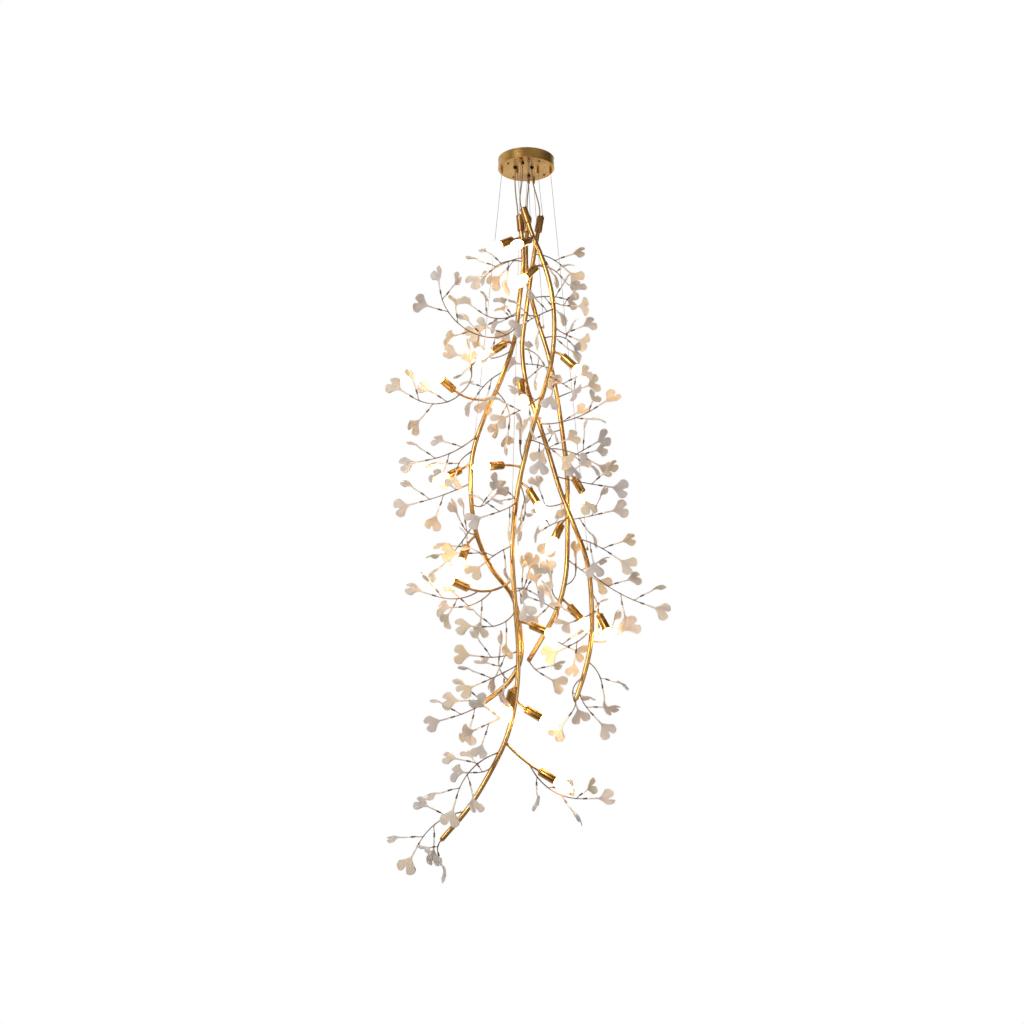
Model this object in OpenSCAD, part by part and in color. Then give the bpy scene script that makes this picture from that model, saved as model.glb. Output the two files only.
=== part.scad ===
// Branch chandelier: four brass branches with porcelain leaves and candle lamps, hung on
// steel wires from one round ceiling canopy. The origin is the middle of the ceiling plate's
// top face, +Z is up, +X is to the right and +Y is away from the viewer.

/* [Canopy] */
// Outer diameter of the canopy
canopy_d = 200; // [180:2:230]
// Height of the canopy below the ceiling
canopy_h = 37; // [32:1:60]
// Wall of the canopy
canopy_wall = 1.5; // [1:0.25:2.5]
// How far the canopy's two edge beads stand out
bead = 0.8; // [0.4:0.1:1.5]
// Thickness of the steel plate that is screwed to the ceiling
plate_t = 3; // [2:0.5:5]
// Diameter of the circle of ceiling screws
ceiling_pcd = 120; // [110:2:130]
// Diameter of a ceiling screw's hole
ceiling_hole_d = 5.5; // [4.5:0.5:6.5]
// Diameter of the mains cable's hole
cable_hole_d = 20; // [16:1:24]
// Diameter of the circle of canopy screws
screw_pcd = 158; // [150:2:164]
// Thread diameter of a canopy screw
screw_d = 4; // [3:0.5:5]
// Diameter of a spacer post
post_d = 10; // [8:1:12]
// Length of the terminal block
terminal_l = 36; // [28:1:44]

/* [Suspension] */
// Diameter of a steel wire
wire_d = 1.5; // [1:0.25:2]
// Diameter of a wire grip's barrel
grip_d = 9; // [7:0.5:11]
// Length of a wire grip's barrel
grip_l = 16; // [12:1:22]
// Diameter of a power cord
cord_d = 4.5; // [4:0.25:5.5]
// Outer diameter of a cord gland
gland_d = 10; // [9:0.5:12]
// Clearance round a cord or a wire in the canopy
loose_fit = 0.75; // [0.6:0.05:1]

/* [Branches] */
// Diameter of a main stem
stem_d = 16; // [12:0.5:18]
// Diameter of a stem's top cap
top_cap_d = 27; // [25:1:30]
// Length of a stem's top cap
top_cap_l = 58; // [48:1:66]
// How far a stem reaches into its top cap
cap_seat = 20; // [14:1:26]
// Diameter of a lamp arm
arm_d = 8; // [6:0.5:9]
// Diameter of a twig
twig_d = 3.6; // [3:0.2:4.4]
// Diameter of a leaf stalk
stalk_d = 2.8; // [2.2:0.2:3.2]
// Length of a leaf stalk
stalk_l = 26; // [20:1:32]
// Distance between two leaf stalks along a twig
stalk_gap = 50; // [44:1:60]
// Angle between a leaf stalk and its twig
stalk_angle = 50; // [40:1:60]

/* [Lamps] */
// Outer diameter of a lamp cup
cup_d = 28; // [26:1:32]
// Length of a lamp cup
cup_l = 60; // [54:1:70]
// Wall of a lamp cup
cup_wall = 1.2; // [0.8:0.1:1.6]
// Length of a lampholder
holder_l = 44; // [40:1:48]
// Diameter of a lamp's screw cap
lamp_cap_d = 13.9; // [13:0.1:14.5]
// Length of a lamp's screw cap
lamp_cap_l = 24; // [20:1:28]
// Largest diameter of a candle lamp's glass
glass_d = 35; // [32:0.5:37]
// Length of a candle lamp's glass
glass_l = 74; // [66:1:80]
// Wall of a lamp's glass
glass_wall = 0.8; // [0.6:0.1:1.2]

/* [Leaves] */
// Diameter of a ferrule
ferrule_d = 6.4; // [5.6:0.2:7.2]
// Length of a ferrule
ferrule_l = 14; // [10:1:18]
// Length of a leaf's petiole
petiole_l = 34; // [28:1:40]
// Width of a leaf's blade
leaf_w = 80; // [70:1:88]
// Length of a leaf's blade
blade_l = 56; // [48:1:62]
// Thickness of the porcelain
leaf_t = 3; // [2.4:0.2:4]
// Radius to which a leaf is cupped
cupping = 70; // [62:1:90]
// Size of the smaller leaves, as a share of the larger
small_leaf = 0.86; // [0.75:0.01:1]

/* [Hidden] */

stem_r = stem_d / 2;
arm_r = arm_d / 2;
stem_sides = 12;
stem_steps = 3;
arm_knuckle = 6;      // how far a lamp arm's knuckle stands out of its stem
twig_knuckle = 5;     // how far a twig's knuckle stands out of what carries it
knuckle_wall = 1.2;   // how much wider a knuckle is than what it holds
tip_gap = 25;         // distance from a twig's end to its last stalk
root_gap = 20;        // least distance from a twig's root to its first stalk
pivot_z = -canopy_h - grip_l + 4;
gland_ring = 3;
post_bottom = -canopy_h + canopy_wall;
cord_lead = 14;       // straight run of a cord above its top cap
cord_offset = -6;     // place of the cord's entry on a top cap
wire_offset = 7;      // place of the wire's nipple on a top cap
table_canopy_d = 200; // canopy diameter for which the tables give the places in it
leaf_rolls = [12, 62, -40, 24, -70]; // how far a twig's leaves are rolled, the end's own first
nipple_r = 3;
nipple_l = 8;

// A branch is [stem points, lamps, twigs, hanging, cord points]. All points are in millimetres.
// A lamp is [place along the stem, its arm's end, the way it points]. A twig is [root, a
// point on it, its tip, turn of its leaves about it], and its root is a place along the stem,
// or [lamp number, share of that lamp's arm]. Hanging is [depth of its two wires, x of the
// short wire, x of the long wire, place of the long wire's lug, direction of the lug].
FRONT = [
    [[0, -70, -255], [15, -70, -305], [50, -70, -395], [85, -70, -525], [95, -70, -660],
     [80, -68, -805], [40, -68, -945], [0, -68, -1090], [-35, -64, -1260],
     [-50, -64, -1445], [-40, -64, -1630], [-30, -64, -1795], [-40, -68, -1940],
     [-70, -73, -2065], [-120, -73, -2170], [-190, -78, -2285], [-275, -78, -2385]],
    [[1.2, [8, -98, -351], [-5, -7, -5]],
     [2.3, [32, -86, -446], [-6, -3, -7]],
     [4.6, [122, -88, -770], [7, -1, -7]],
     [7.4, [-81, -64, -1149], [-8, -5, -2]],
     [7.7, [6, -76, -1236], [5, -2, -9]],
     [9.5, [-196, -76, -1572], [-8, -4, 3]],
     [10.3, [11, -70, -1694], [8, -3, -4]],
     [11.7, [-51, -90, -1912], [-2, -3, -9]],
     [12, [-6, -72, -1969], [8, -1, -5]],
     [13.1, [39, -62, -2169], [8, -2, -5]]],
    [[2.3, [85, -80, -450], [115, -95, -480], 30],
     [3.3, [115, -95, -585], [140, -120, -600], 80],
     [3.5, [45, -128, -635], [5, -178, -675], 90],
     [4, [120, -78, -680], [145, -93, -700], 100],
     [5.2, [105, -108, -865], [130, -148, -895], 120],
     [5.7, [10, -118, -950], [-40, -168, -995], 70],
     [6.8, [45, -108, -1085], [85, -148, -1120], 110],
     [7.3, [-20, -85, -1115], [-25, -105, -1085], 90],
     [7.7, [-10, -25, -1260], [-10, 20, -1310], 80],
     [8.1, [-62, -108, -1305], [-110, -148, -1335], 80],
     [8.4, [-40, -95, -1295], [-55, -130, -1265], -80],
     [8.9, [-90, -103, -1455], [-125, -133, -1485], 60],
     [9.7, [-20, -113, -1580], [5, -158, -1595], 90],
     [10.1, [-80, -85, -1685], [-135, -105, -1705], 75],
     [10.9, [-90, -93, -1800], [-140, -113, -1805], 100],
     [11.2, [-80, -98, -1855], [-135, -128, -1885], 60],
     [12.3, [-95, -103, -2005], [-140, -143, -2030], -80],
     [13.4, [-170, -93, -2160], [-225, -113, -2245], 70],
     [13.7, [-130, -40, -2160], [-165, -10, -2170], 80],
     [15.1, [-280, -83, -2330], [-345, -93, -2395], 80],
     [16, [-284, -88, -2402], [-285, -103, -2425], 90],
     [[5, 0.75], [-235, -96, -1608], [-300, -113, -1605], 60],
     [[5, 0.45], [-165, -65, -1615], [-215, -50, -1630], 80],
     [[9, 0.7], [65, -53, -2215], [178, -38, -2255], 140]],
    [-84, 8, -20, 9.2, [-0.4, -1, 0]],
    [[-14, -52, -38], [-14, -52, -58], [-15, -46, -95], [-20, -60, -145], [-23, -68, -182]]];
LEFT = [
    [[-20, -5, -255], [-15, 0, -310], [-10, 0, -390], [-25, 0, -535], [-40, 0, -670],
     [-90, -5, -830], [-145, -5, -960], [-185, -5, -1095], [-190, -5, -1240],
     [-170, 0, -1375], [-120, 5, -1490], [-50, 5, -1585], [-25, 10, -1690],
     [-25, 10, -1805], [-65, 15, -1875], [-145, 20, -1940]],
    [[0.8, [-51, -20, -317], [-7, -5, -5]],
     [4.15, [-75, -24, -702], [-8, -2, -6]],
     [5.5, [-251, -12, -867], [-6, -5, 4]],
     [7.2, [-228, -16, -1153], [-7, -5, -5]],
     [9, [-203, -8, -1416], [-3, -4, -9]]],
    [[1.8, [-70, -40, -410], [-120, -60, -445], 80],
     [3.3, [-95, 50, -580], [-160, 80, -550], 60],
     [3.7, [-170, -85, -680], [-295, -115, -555], 65],
     [4.3, [-120, 45, -730], [-190, 60, -725], -100],
     [4.8, [-130, 50, -815], [-165, 90, -840], 90],
     [5.3, [-70, 0, -925], [-60, 5, -990], 100],
     [6.5, [-255, 10, -1080], [-335, 10, -1110], 80],
     [6.9, [-215, -30, -1115], [-235, -60, -1155], 40],
     [7.7, [-255, 35, -1215], [-355, 55, -1245], 100],
     [8.2, [-165, 15, -1270], [-140, 30, -1260], 60],
     [8.7, [-215, 20, -1385], [-265, 40, -1445], 60],
     [9, [-195, -20, -1370], [-215, -40, -1355], 90],
     [9.8, [-170, 30, -1430], [-220, 55, -1405], 40],
     [10.8, [-30, 10, -1560], [-5, 10, -1540], 100],
     [13.9, [-85, 30, -1835], [-95, 45, -1795], -100],
     [14.3, [-135, 40, -1920], [-180, 50, -1930], 85],
     [15, [-190, 25, -1965], [-240, 20, -1985], 70],
     [[2, 0.8], [-300, -20, -915], [-390, -30, -900], 95],
     [[2, 0.82], [-200, -15, -840], [-190, -30, -795], 100]],
    [-2, -32, -87, 6.6, [-0.5, -1, 0]],
    [[-40, -15, -38], [-40, -15, -58], [-40, -14, -100], [-37, -12, -145], [-33, -10, -180]]];
RIGHT = [
    [[45, 5, -255], [35, 5, -315], [20, 10, -410], [0, 10, -565], [-15, 15, -705],
     [0, 15, -840], [35, 10, -955], [75, 10, -1085], [115, 5, -1225], [160, 0, -1345],
     [200, 0, -1460], [215, 0, -1600], [210, 0, -1750], [190, 0, -1840], [160, -5, -1930]],
    [[4.9, [-20, -20, -844], [1, -3, -9]],
     [8.7, [115, -14, -1344], [-4, -3, -9]],
     [11.25, [241, -10, -1651], [4, -3, -9]]],
    [[1.5, [75, 45, -355], [120, 60, -375], 80],
     [4, [25, 0, -730], [55, -10, -765], -100],
     [6.2, [130, -40, -985], [230, -50, -945], 140],
     [6.9, [140, -40, -1095], [200, -45, -1120], 120],
     [7.6, [170, -45, -1200], [240, -52, -1215], 95],
     [8.3, [85, 35, -1265], [50, 70, -1250], 100],
     [8.8, [190, 45, -1305], [245, 60, -1290], 80],
     [9.4, [230, -40, -1420], [270, -50, -1445], 100],
     [10.3, [290, 10, -1560], [380, 15, -1605], 65],
     [10.8, [230, 25, -1595], [240, 55, -1620], 100],
     [11.3, [185, -40, -1665], [160, -75, -1680], 60],
     [11.6, [185, -20, -1725], [145, -35, -1755], -80],
     [11.9, [255, 10, -1735], [285, 15, -1725], 90],
     [12.6, [230, -20, -1845], [245, -30, -1885], 80],
     [13.2, [160, 30, -1885], [155, 65, -1920], 40],
     [13.7, [185, 20, -1935], [210, 35, -1970], 70],
     [14, [155, -10, -1955], [145, -10, -1975], 90]],
    [1, 42, 87, 9.7, [1, 0, 0]],
    [[20, -15, -38], [20, -15, -58], [24, -12, -95], [36, -3, -140], [45, 4, -175]]];
BACK = [
    [[5, 68, -230], [0, 68, -300], [5, 66, -430], [35, 66, -570], [75, 66, -705],
     [105, 68, -855], [125, 71, -1000], [140, 71, -1160], [140, 71, -1340],
     [130, 66, -1515], [100, 61, -1625], [55, 56, -1710], [5, 51, -1795]],
    [[6.9, [165, 86, -1156], [5, 5, -7]],
     [9.6, [144, 76, -1606], [6, 0, -7]]],
    [[1.5, [-55, 71, -360], [-105, 101, -365], 90],
     [2.5, [65, 81, -490], [120, 121, -478], 80],
     [3, [-20, 96, -555], [-65, 136, -550], 90],
     [3.6, [115, 86, -640], [150, 121, -640], 100],
     [4.4, [50, 106, -740], [5, 146, -720], 80],
     [5.1, [145, 96, -845], [185, 126, -820], 95],
     [5.9, [85, 111, -985], [50, 156, -985], 85],
     [6.6, [175, 101, -1065], [215, 126, -1035], 90],
     [6.9, [140, 100, -1175], [135, 125, -1205], -100],
     [7.8, [100, 111, -1310], [70, 156, -1315], 90],
     [8.6, [170, 96, -1465], [205, 121, -1485], 80],
     [9.2, [155, 100, -1510], [170, 130, -1470], 80],
     [9.7, [95, 80, -1570], [85, 95, -1540], 120],
     [10, [70, 96, -1600], [35, 141, -1575], 95],
     [10.6, [95, 40, -1650], [100, 20, -1620], 60],
     [10.9, [100, 76, -1725], [135, 106, -1740], 80],
     [12, [20, 61, -1815], [45, 76, -1835], 90]],
    [84, 10, 28, 3.3, [1, 0, 0]],
    [[9, 52, -38], [9, 52, -58], [8, 44, -88], [4, 58, -125], [3, 66, -155]]];

function stem_of(b) = b[0];
function lamps_of(b) = b[1];
function twigs_of(b) = b[2];
function hanging_of(b) = b[3];
function cord_of(b) = b[4];

// Smooth curve through points: each span is a cubic with the tangents of tangent_at
function unit(v) = v / norm(v);
function tangent_at(p, i) =
    i == 0 ? unit(p[1] - p[0])
    : i == len(p) - 1 ? unit(p[i] - p[i - 1])
    : unit(unit(p[i + 1] - p[i]) + unit(p[i] - p[i - 1]));
function span_point(a, t, b, u, f) =
    let(l = norm(b - a), g = 1 - f)
    (1 + 2 * f) * g * g * a + f * g * g * l * t + f * f * (3 - 2 * f) * b - f * f * g * l * u;
function point_on(p, s) =
    let(i = min(floor(s), len(p) - 2))
    span_point(p[i], tangent_at(p, i), p[i + 1], tangent_at(p, i + 1), s - i);
function direction_on(p, s) =
    unit(point_on(p, min(s + 0.01, len(p) - 1)) - point_on(p, max(s - 0.01, 0)));

// Circular arc that leaves point a along direction t and ends at point b
function bow(a, t, b) = atan2(norm(cross(t, b - a)), t * (b - a));
function arc_side(a, t, b) = unit((b - a) - (t * (b - a)) * t);
function arc_radius(a, t, b) = norm(b - a) / (2 * sin(bow(a, t, b)));
function arc_length(a, t, b) = arc_radius(a, t, b) * bow(a, t, b) * PI / 90;
function arc_point(a, t, b, f) =
    let(turn = 2 * f * bow(a, t, b))
    a + arc_radius(a, t, b) * (sin(turn) * t + (1 - cos(turn)) * arc_side(a, t, b));
function arc_direction(a, t, b, f) =
    let(turn = 2 * f * bow(a, t, b))
    cos(turn) * t + sin(turn) * arc_side(a, t, b);
// Direction in which the circle through p, m and q leaves p
function start_direction(p, m, q) =
    let(h = unit(unit(m - p) + unit(q - p)), v = unit(q - m))
    2 * (v * h) * h - v;

// Places children at p with their Z along z and their Y as near y as it can be
module place_at(p, z, y = [0, 0, 1]) {
    across = abs(z * y) > 0.95 ? [1, 0, 0] : y;
    v = unit(across - (across * z) * z);
    u = cross(v, z);
    multmatrix([[u[0], v[0], z[0], p[0]],
                [u[1], v[1], z[1], p[1]],
                [u[2], v[2], z[2], p[2]],
                [0, 0, 0, 1]]) children();
}
module round_arc(a, t, b, r) {
    side = arc_side(a, t, b);
    radius = arc_radius(a, t, b);
    middle = a + radius * side;
    n = cross(t, side);
    multmatrix([[-side[0], t[0], n[0], middle[0]],
                [-side[1], t[1], n[1], middle[1]],
                [-side[2], t[2], n[2], middle[2]],
                [0, 0, 0, 1]])
        rotate_extrude(angle = 2 * bow(a, t, b), $fn = 180) translate([radius, 0]) circle(r = r, $fn = 24);
}
module round_rod(a, b, r) place_at(a, unit(b - a)) cylinder(r = r, h = norm(b - a), $fn = 32);
// Tube along a smooth curve through points p, with the given sides and rings per span
module swept_rod(p, r, sides, steps) {
    last = (len(p) - 1) * steps;
    rings = [for (i = [0:last])
        let(q = point_on(p, i / steps), z = direction_on(p, i / steps),
            x = unit(cross([0, 1, 0], z)), y = cross(z, x))
        for (k = [0:sides - 1]) q + r * (cos(360 * k / sides) * x + sin(360 * k / sides) * y)];
    walls = [for (i = [0:last - 1], k = [0:sides - 1])
        let(a = i * sides + k, b = i * sides + (k + 1) % sides)
        each [[a, a + sides, b], [b, a + sides, b + sides]]];
    bottom = [for (k = [0:sides - 1]) k];
    top = [for (k = [sides - 1:-1:0]) last * sides + k];
    polyhedron(rings, concat([bottom], walls, [top]));
}

// Lamp arms: the arm leaves a knuckle on the stem and ends square to its cup
function arm_root(b, k) = point_on(stem_of(b), lamps_of(b)[k][0]);
function arm_end(b, k) = lamps_of(b)[k][1];
function arm_aim(b, k) = unit(lamps_of(b)[k][2]);
// The knuckle's line and the lamp's line meet where both are equally far from the arc's ends
function arm_leave(b, k) =
    let(v = arm_end(b, k) - arm_root(b, k), d = arm_aim(b, k), q = stem_r + arm_knuckle,
        h = (v * v - q * q) / (2 * (q + v * d)))
    unit(v - h * d);
function arm_start(b, k) = arm_root(b, k) + (stem_r + arm_knuckle) * arm_leave(b, k);

// Twigs: the twig leaves a knuckle on the stem or on a lamp arm
function on_arm(w) = is_list(w[0]);
function twig_root(b, w) =
    on_arm(w) ? arc_point(arm_start(b, w[0][0]), arm_leave(b, w[0][0]), arm_end(b, w[0][0]), w[0][1])
              : point_on(stem_of(b), w[0]);
function arm_run(b, w) =
    arc_direction(arm_start(b, w[0][0]), arm_leave(b, w[0][0]), arm_end(b, w[0][0]), w[0][1]);
function twig_leave(b, w) = start_direction(twig_root(b, w), w[1], w[2]);
function on_end(b, w) = !on_arm(w) && w[0] == len(stem_of(b)) - 1;
// Distance from a carrier's middle line to its knuckle's end, longer where the twig leaves at a slant
function twig_reach(b, w) =
    on_end(b, w) ? twig_knuckle
    : on_arm(w) ? (arm_r + twig_knuckle) / max(0.55, norm(cross(twig_leave(b, w), arm_run(b, w))))
    : (stem_r + twig_knuckle) / max(0.55, norm(cross(twig_leave(b, w), direction_on(stem_of(b), w[0]))));
function twig_start(b, w) = twig_root(b, w) + twig_reach(b, w) * twig_leave(b, w);
function stalk_count(b, w) =
    let(l = arc_length(twig_start(b, w), twig_leave(b, w), w[2]))
    max(0, 1 + floor((l - tip_gap - root_gap) / stalk_gap));
// Sideways direction of a twig's leaves at a place where it runs along t
function frond_side(t, turn) =
    let(h = unit(cross(t, abs(t[2]) > 0.95 ? [0, 1, 0] : [0, 0, 1])), v = cross(h, t))
    cos(turn) * h + sin(turn) * v;
// Seats of a twig's leaves, each [point, direction, face normal, size], the end's own first
function leaf_seats(b, w) =
    let(a = twig_start(b, w), t = twig_leave(b, w), l = arc_length(a, t, w[2]),
        d = arc_direction(a, t, w[2], 1))
    [[w[2], d, face_normal(d, frond_side(d, w[3]), leaf_rolls[0]), 1],
     each [for (j = [0:1:stalk_count(b, w) - 1])
        let(f = 1 - (tip_gap + stalk_gap * j) / l, q = arc_point(a, t, w[2], f),
            e = arc_direction(a, t, w[2], f), s = frond_side(e, w[3]) * (j % 2 == 0 ? 1 : -1),
            g = unit(cos(stalk_angle) * e + sin(stalk_angle) * s),
            roll = leaf_rolls[(j + 1) % len(leaf_rolls)])
        [q + stalk_l * g, g, face_normal(g, s, roll), j % 2 == 0 ? small_leaf : 1]]];
// Normal of a leaf that points along d, rolled out of the plane of d and s
function face_normal(d, s, roll) =
    let(n = unit(cross(d, unit(s + 0.01 * [1, 1, 1]))), m = cross(d, n))
    cos(roll) * n + sin(roll) * m;
function stalk_foot(seat) = seat[0] - stalk_l * seat[1];

// Hanging: the two wires start in their grips on one line, about which the branch swings
function cap_axis(b) = -tangent_at(stem_of(b), 0);
function cap_frame_x(b) = unit(cross([0, 1, 0], cap_axis(b)));
function cap_top(b, x) = stem_of(b)[0] + (top_cap_l - cap_seat) * cap_axis(b) + x * cap_frame_x(b);
function in_canopy(x, y, z) = [x * canopy_d / table_canopy_d, y * canopy_d / table_canopy_d, z];
function short_anchor(b) = in_canopy(hanging_of(b)[1], hanging_of(b)[0], pivot_z);
function long_anchor(b) = in_canopy(hanging_of(b)[2], hanging_of(b)[0], pivot_z);
function nipple_root(b) = cap_top(b, wire_offset);
function short_pull(b) = unit(short_anchor(b) - nipple_root(b));
function lug_root(b) = point_on(stem_of(b), hanging_of(b)[3]);
function lug_end(b) = lug_root(b) + (stem_r + nipple_r + 3) * unit(hanging_of(b)[4]);
function long_pull(b) = unit(long_anchor(b) - lug_end(b));
function cord_points(b) = [
    for (i = [0:1]) in_canopy(cord_of(b)[i][0], cord_of(b)[i][1], cord_of(b)[i][2]),
    for (i = [2:1:len(cord_of(b)) - 1]) cord_of(b)[i],
    cap_top(b, cord_offset) + cord_lead * cap_axis(b), cap_top(b, cord_offset)];

BRANCHES = [FRONT, LEFT, RIGHT, BACK];
// Directions of the four canopy screws and posts
module at_screws() for (i = [0:3]) rotate(35 + 90 * i) translate([screw_pcd / 2, 0, 0]) children();
module at_grips() for (b = BRANCHES, p = [short_anchor(b), long_anchor(b)]) translate([p[0], p[1], 0]) children();
module at_glands() for (b = BRANCHES, p = [cord_points(b)[0]]) translate([p[0], p[1], 0]) children();

// Canopy
module ceiling_plate() color("silver") difference() {
    translate([0, 0, -plate_t]) cylinder(d = canopy_d - 2 * canopy_wall - 4, h = plate_t, $fn = 128);
    translate([0, 0, -plate_t - 1]) {
        cylinder(d = cable_hole_d, h = plate_t + 2, $fn = 48);
        for (i = [0:3]) rotate(90 * i) translate([ceiling_pcd / 2, 0, 0])
            cylinder(d = ceiling_hole_d, h = plate_t + 2, $fn = 32);
    }
}
module canopy_cover() color("goldenrod") difference() {
    r = canopy_d / 2;
    rim = 0.5;
    bead_h = 2.5;
    rotate_extrude($fn = 160) polygon([
        [0, -canopy_h], [r - 1, -canopy_h], [r + bead, -canopy_h + 0.8], [r + bead, -canopy_h + bead_h],
        [r, -canopy_h + bead_h + 0.8], [r, -rim - bead_h - 0.8], [r + bead, -rim - bead_h],
        [r + bead, -rim], [r - canopy_wall, -rim], [r - canopy_wall, -canopy_h + canopy_wall],
        [0, -canopy_h + canopy_wall]]);
    translate([0, 0, -canopy_h - 1]) {
        at_screws() cylinder(d = screw_d + 0.5, h = canopy_wall + 2, $fn = 32);
        at_grips() cylinder(d = grip_d * 0.66 + 0.6, h = canopy_wall + 2, $fn = 32);
        at_glands() cylinder(d = gland_d, h = canopy_wall + 2, $fn = 32);
    }
}
module canopy_screws() color("dimgray") at_screws() translate([0, 0, -canopy_h]) {
    translate([0, 0, -0.8]) cylinder(r = screw_d, h = 0.8, $fn = 32);
    translate([0, 0, -2.4]) cylinder(r1 = screw_d * 0.6, r2 = screw_d, h = 1.6, $fn = 32);
    cylinder(d = screw_d, h = canopy_wall + 10, $fn = 32);
}
module spacer_posts() color("gainsboro") at_screws() difference() {
    translate([0, 0, post_bottom]) cylinder(d = post_d, h = -plate_t - post_bottom, $fn = 6);
    translate([0, 0, post_bottom - 1]) cylinder(d = screw_d + 0.2, h = 13, $fn = 32);
}
module terminal_block() color("ivory") translate([-42, 32, -plate_t]) difference() {
    ways = 3;
    pitch = terminal_l / ways;
    translate([-terminal_l / 2, -9, -16]) cube([terminal_l, 18, 16]);
    for (i = [0:ways - 1]) translate([(i - (ways - 1) / 2) * pitch, 0, 0]) {
        translate([0, -10, -10]) rotate([-90, 0, 0]) cylinder(d = 5, h = 20, $fn = 32);
        for (y = [-5, 5]) translate([0, y, -17]) cylinder(d = 4, h = 6, $fn = 32);
    }
}
module wire_grips() color("goldenrod") at_grips() difference() {
    rod_d = grip_d * 0.66;
    union() {
        translate([0, 0, -plate_t - 3]) cylinder(d = grip_d + 2, h = 3, $fn = 6);
        translate([0, 0, -canopy_h - 2]) cylinder(d = rod_d, h = canopy_h - plate_t + 2, $fn = 32);
        translate([0, 0, -canopy_h - grip_l + 2]) cylinder(d = grip_d, h = grip_l - 2, $fn = 32);
        translate([0, 0, -canopy_h - grip_l]) cylinder(d1 = grip_d - 3, d2 = grip_d, h = 2, $fn = 32);
    }
    translate([0, 0, -canopy_h - grip_l - 1]) cylinder(d = wire_d + 2 * loose_fit, h = grip_l - 2, $fn = 32);
}
module cord_glands() color("dimgray") at_glands() difference() {
    union() {
        translate([0, 0, -canopy_h - 6]) cylinder(d = gland_d, h = 14, $fn = 32);
        translate([0, 0, -canopy_h - gland_ring]) cylinder(d = gland_d + 4, h = gland_ring, $fn = 32);
        translate([0, 0, post_bottom]) cylinder(d = gland_d + 4, h = gland_ring, $fn = 6);
    }
    translate([0, 0, -canopy_h - 7]) cylinder(d = cord_d + 2 * loose_fit, h = 16, $fn = 32);
}

// Branch frame
module stem(b) {
    p = stem_of(b);
    swept_rod(p, stem_r, stem_sides, stem_steps);
    for (k = [0:len(lamps_of(b)) - 1])
        round_rod(arm_root(b, k), arm_start(b, k), arm_r + knuckle_wall);
    for (w = twigs_of(b)) if (!on_arm(w))
        round_rod(twig_root(b, w), twig_start(b, w), (on_end(b, w) ? stem_r * 0.6 : twig_d / 2 + knuckle_wall));
    round_rod(lug_root(b), lug_end(b) + nipple_r / 2 * unit(hanging_of(b)[4]), nipple_r * 0.8);
    round_rod(lug_end(b) - nipple_l / 2 * long_pull(b), lug_end(b) + nipple_l * long_pull(b), nipple_r);
}
module top_cap(b) difference() {
    union() {
        place_at(stem_of(b)[0] - cap_seat * cap_axis(b), cap_axis(b)) rotate_extrude($fn = 48)
            polygon([[0, 0], [top_cap_d / 2, 0], [top_cap_d / 2, top_cap_l - 2],
                     [top_cap_d / 2 - 2, top_cap_l], [0, top_cap_l]]);
        round_rod(nipple_root(b) - 2 * cap_axis(b), nipple_root(b) + nipple_l * short_pull(b), nipple_r);
    }
    place_at(stem_of(b)[0] - (cap_seat + 1) * cap_axis(b), cap_axis(b))
        cylinder(d = stem_d + 0.4, h = cap_seat + 1, $fn = 48);
}
module lamp_arms(b) {
    for (k = [0:len(lamps_of(b)) - 1])
        round_arc(arm_start(b, k), arm_leave(b, k), arm_end(b, k), arm_r);
    for (w = twigs_of(b)) if (on_arm(w))
        round_rod(twig_root(b, w), twig_start(b, w), twig_d / 2 + 0.6);
}
module twigs(b) for (w = twigs_of(b)) {
    a = twig_start(b, w);
    t = twig_leave(b, w);
    seats = leaf_seats(b, w);
    round_arc(a, t, w[2], twig_d / 2);
    for (j = [1:1:len(seats) - 1]) round_rod(stalk_foot(seats[j]), seats[j][0], stalk_d / 2);
}
module ferrules(b) for (w = twigs_of(b), seat = leaf_seats(b, w)) place_at(seat[0], seat[1], seat[2])
    rotate_extrude($fn = 32) polygon([[0, 0], [ferrule_d / 2 - 0.8, 0], [ferrule_d / 2, 0.8],
        [ferrule_d / 2, ferrule_l - 0.8], [ferrule_d / 2 - 0.8, ferrule_l], [0, ferrule_l]]);

// Leaf: a slim round petiole and a cupped fan with two lobes and a notch between them
module leaf_outline() {
    lobe = leaf_w * 0.36;
    difference() {
        intersection() {
            polygon([[-2.5, -6], [2.5, -6], [5, 6], [leaf_w / 2 + 4, blade_l * 0.8],
                     [leaf_w / 2 + 4, blade_l + 5], [-leaf_w / 2 - 4, blade_l + 5],
                     [-leaf_w / 2 - 4, blade_l * 0.8], [-5, 6]]);
            for (side = [-1, 1]) translate([side * (leaf_w / 2 - lobe), blade_l - lobe]) circle(r = lobe, $fn = 72);
        }
        polygon([[0, blade_l * 0.64], [7, blade_l + 5], [-7, blade_l + 5]]);
    }
}
module leaf() {
    middle = blade_l * 0.45;
    cylinder(r1 = 2.2, r2 = 2.9, h = petiole_l + 4, $fn = 24);
    translate([0, 0, petiole_l]) intersection() {
        rotate([90, 0, 0]) translate([0, 0, -32]) linear_extrude(50) leaf_outline();
        translate([0, sqrt(cupping * cupping - middle * middle), middle]) difference() {
            sphere(r = cupping + leaf_t / 2, $fn = 120);
            sphere(r = cupping - leaf_t / 2, $fn = 120);
        }
    }
}
module leaves(b) for (w = twigs_of(b), seat = leaf_seats(b, w))
    place_at(seat[0] + ferrule_l * seat[1], seat[1], seat[2]) scale(seat[3]) leaf();

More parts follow.
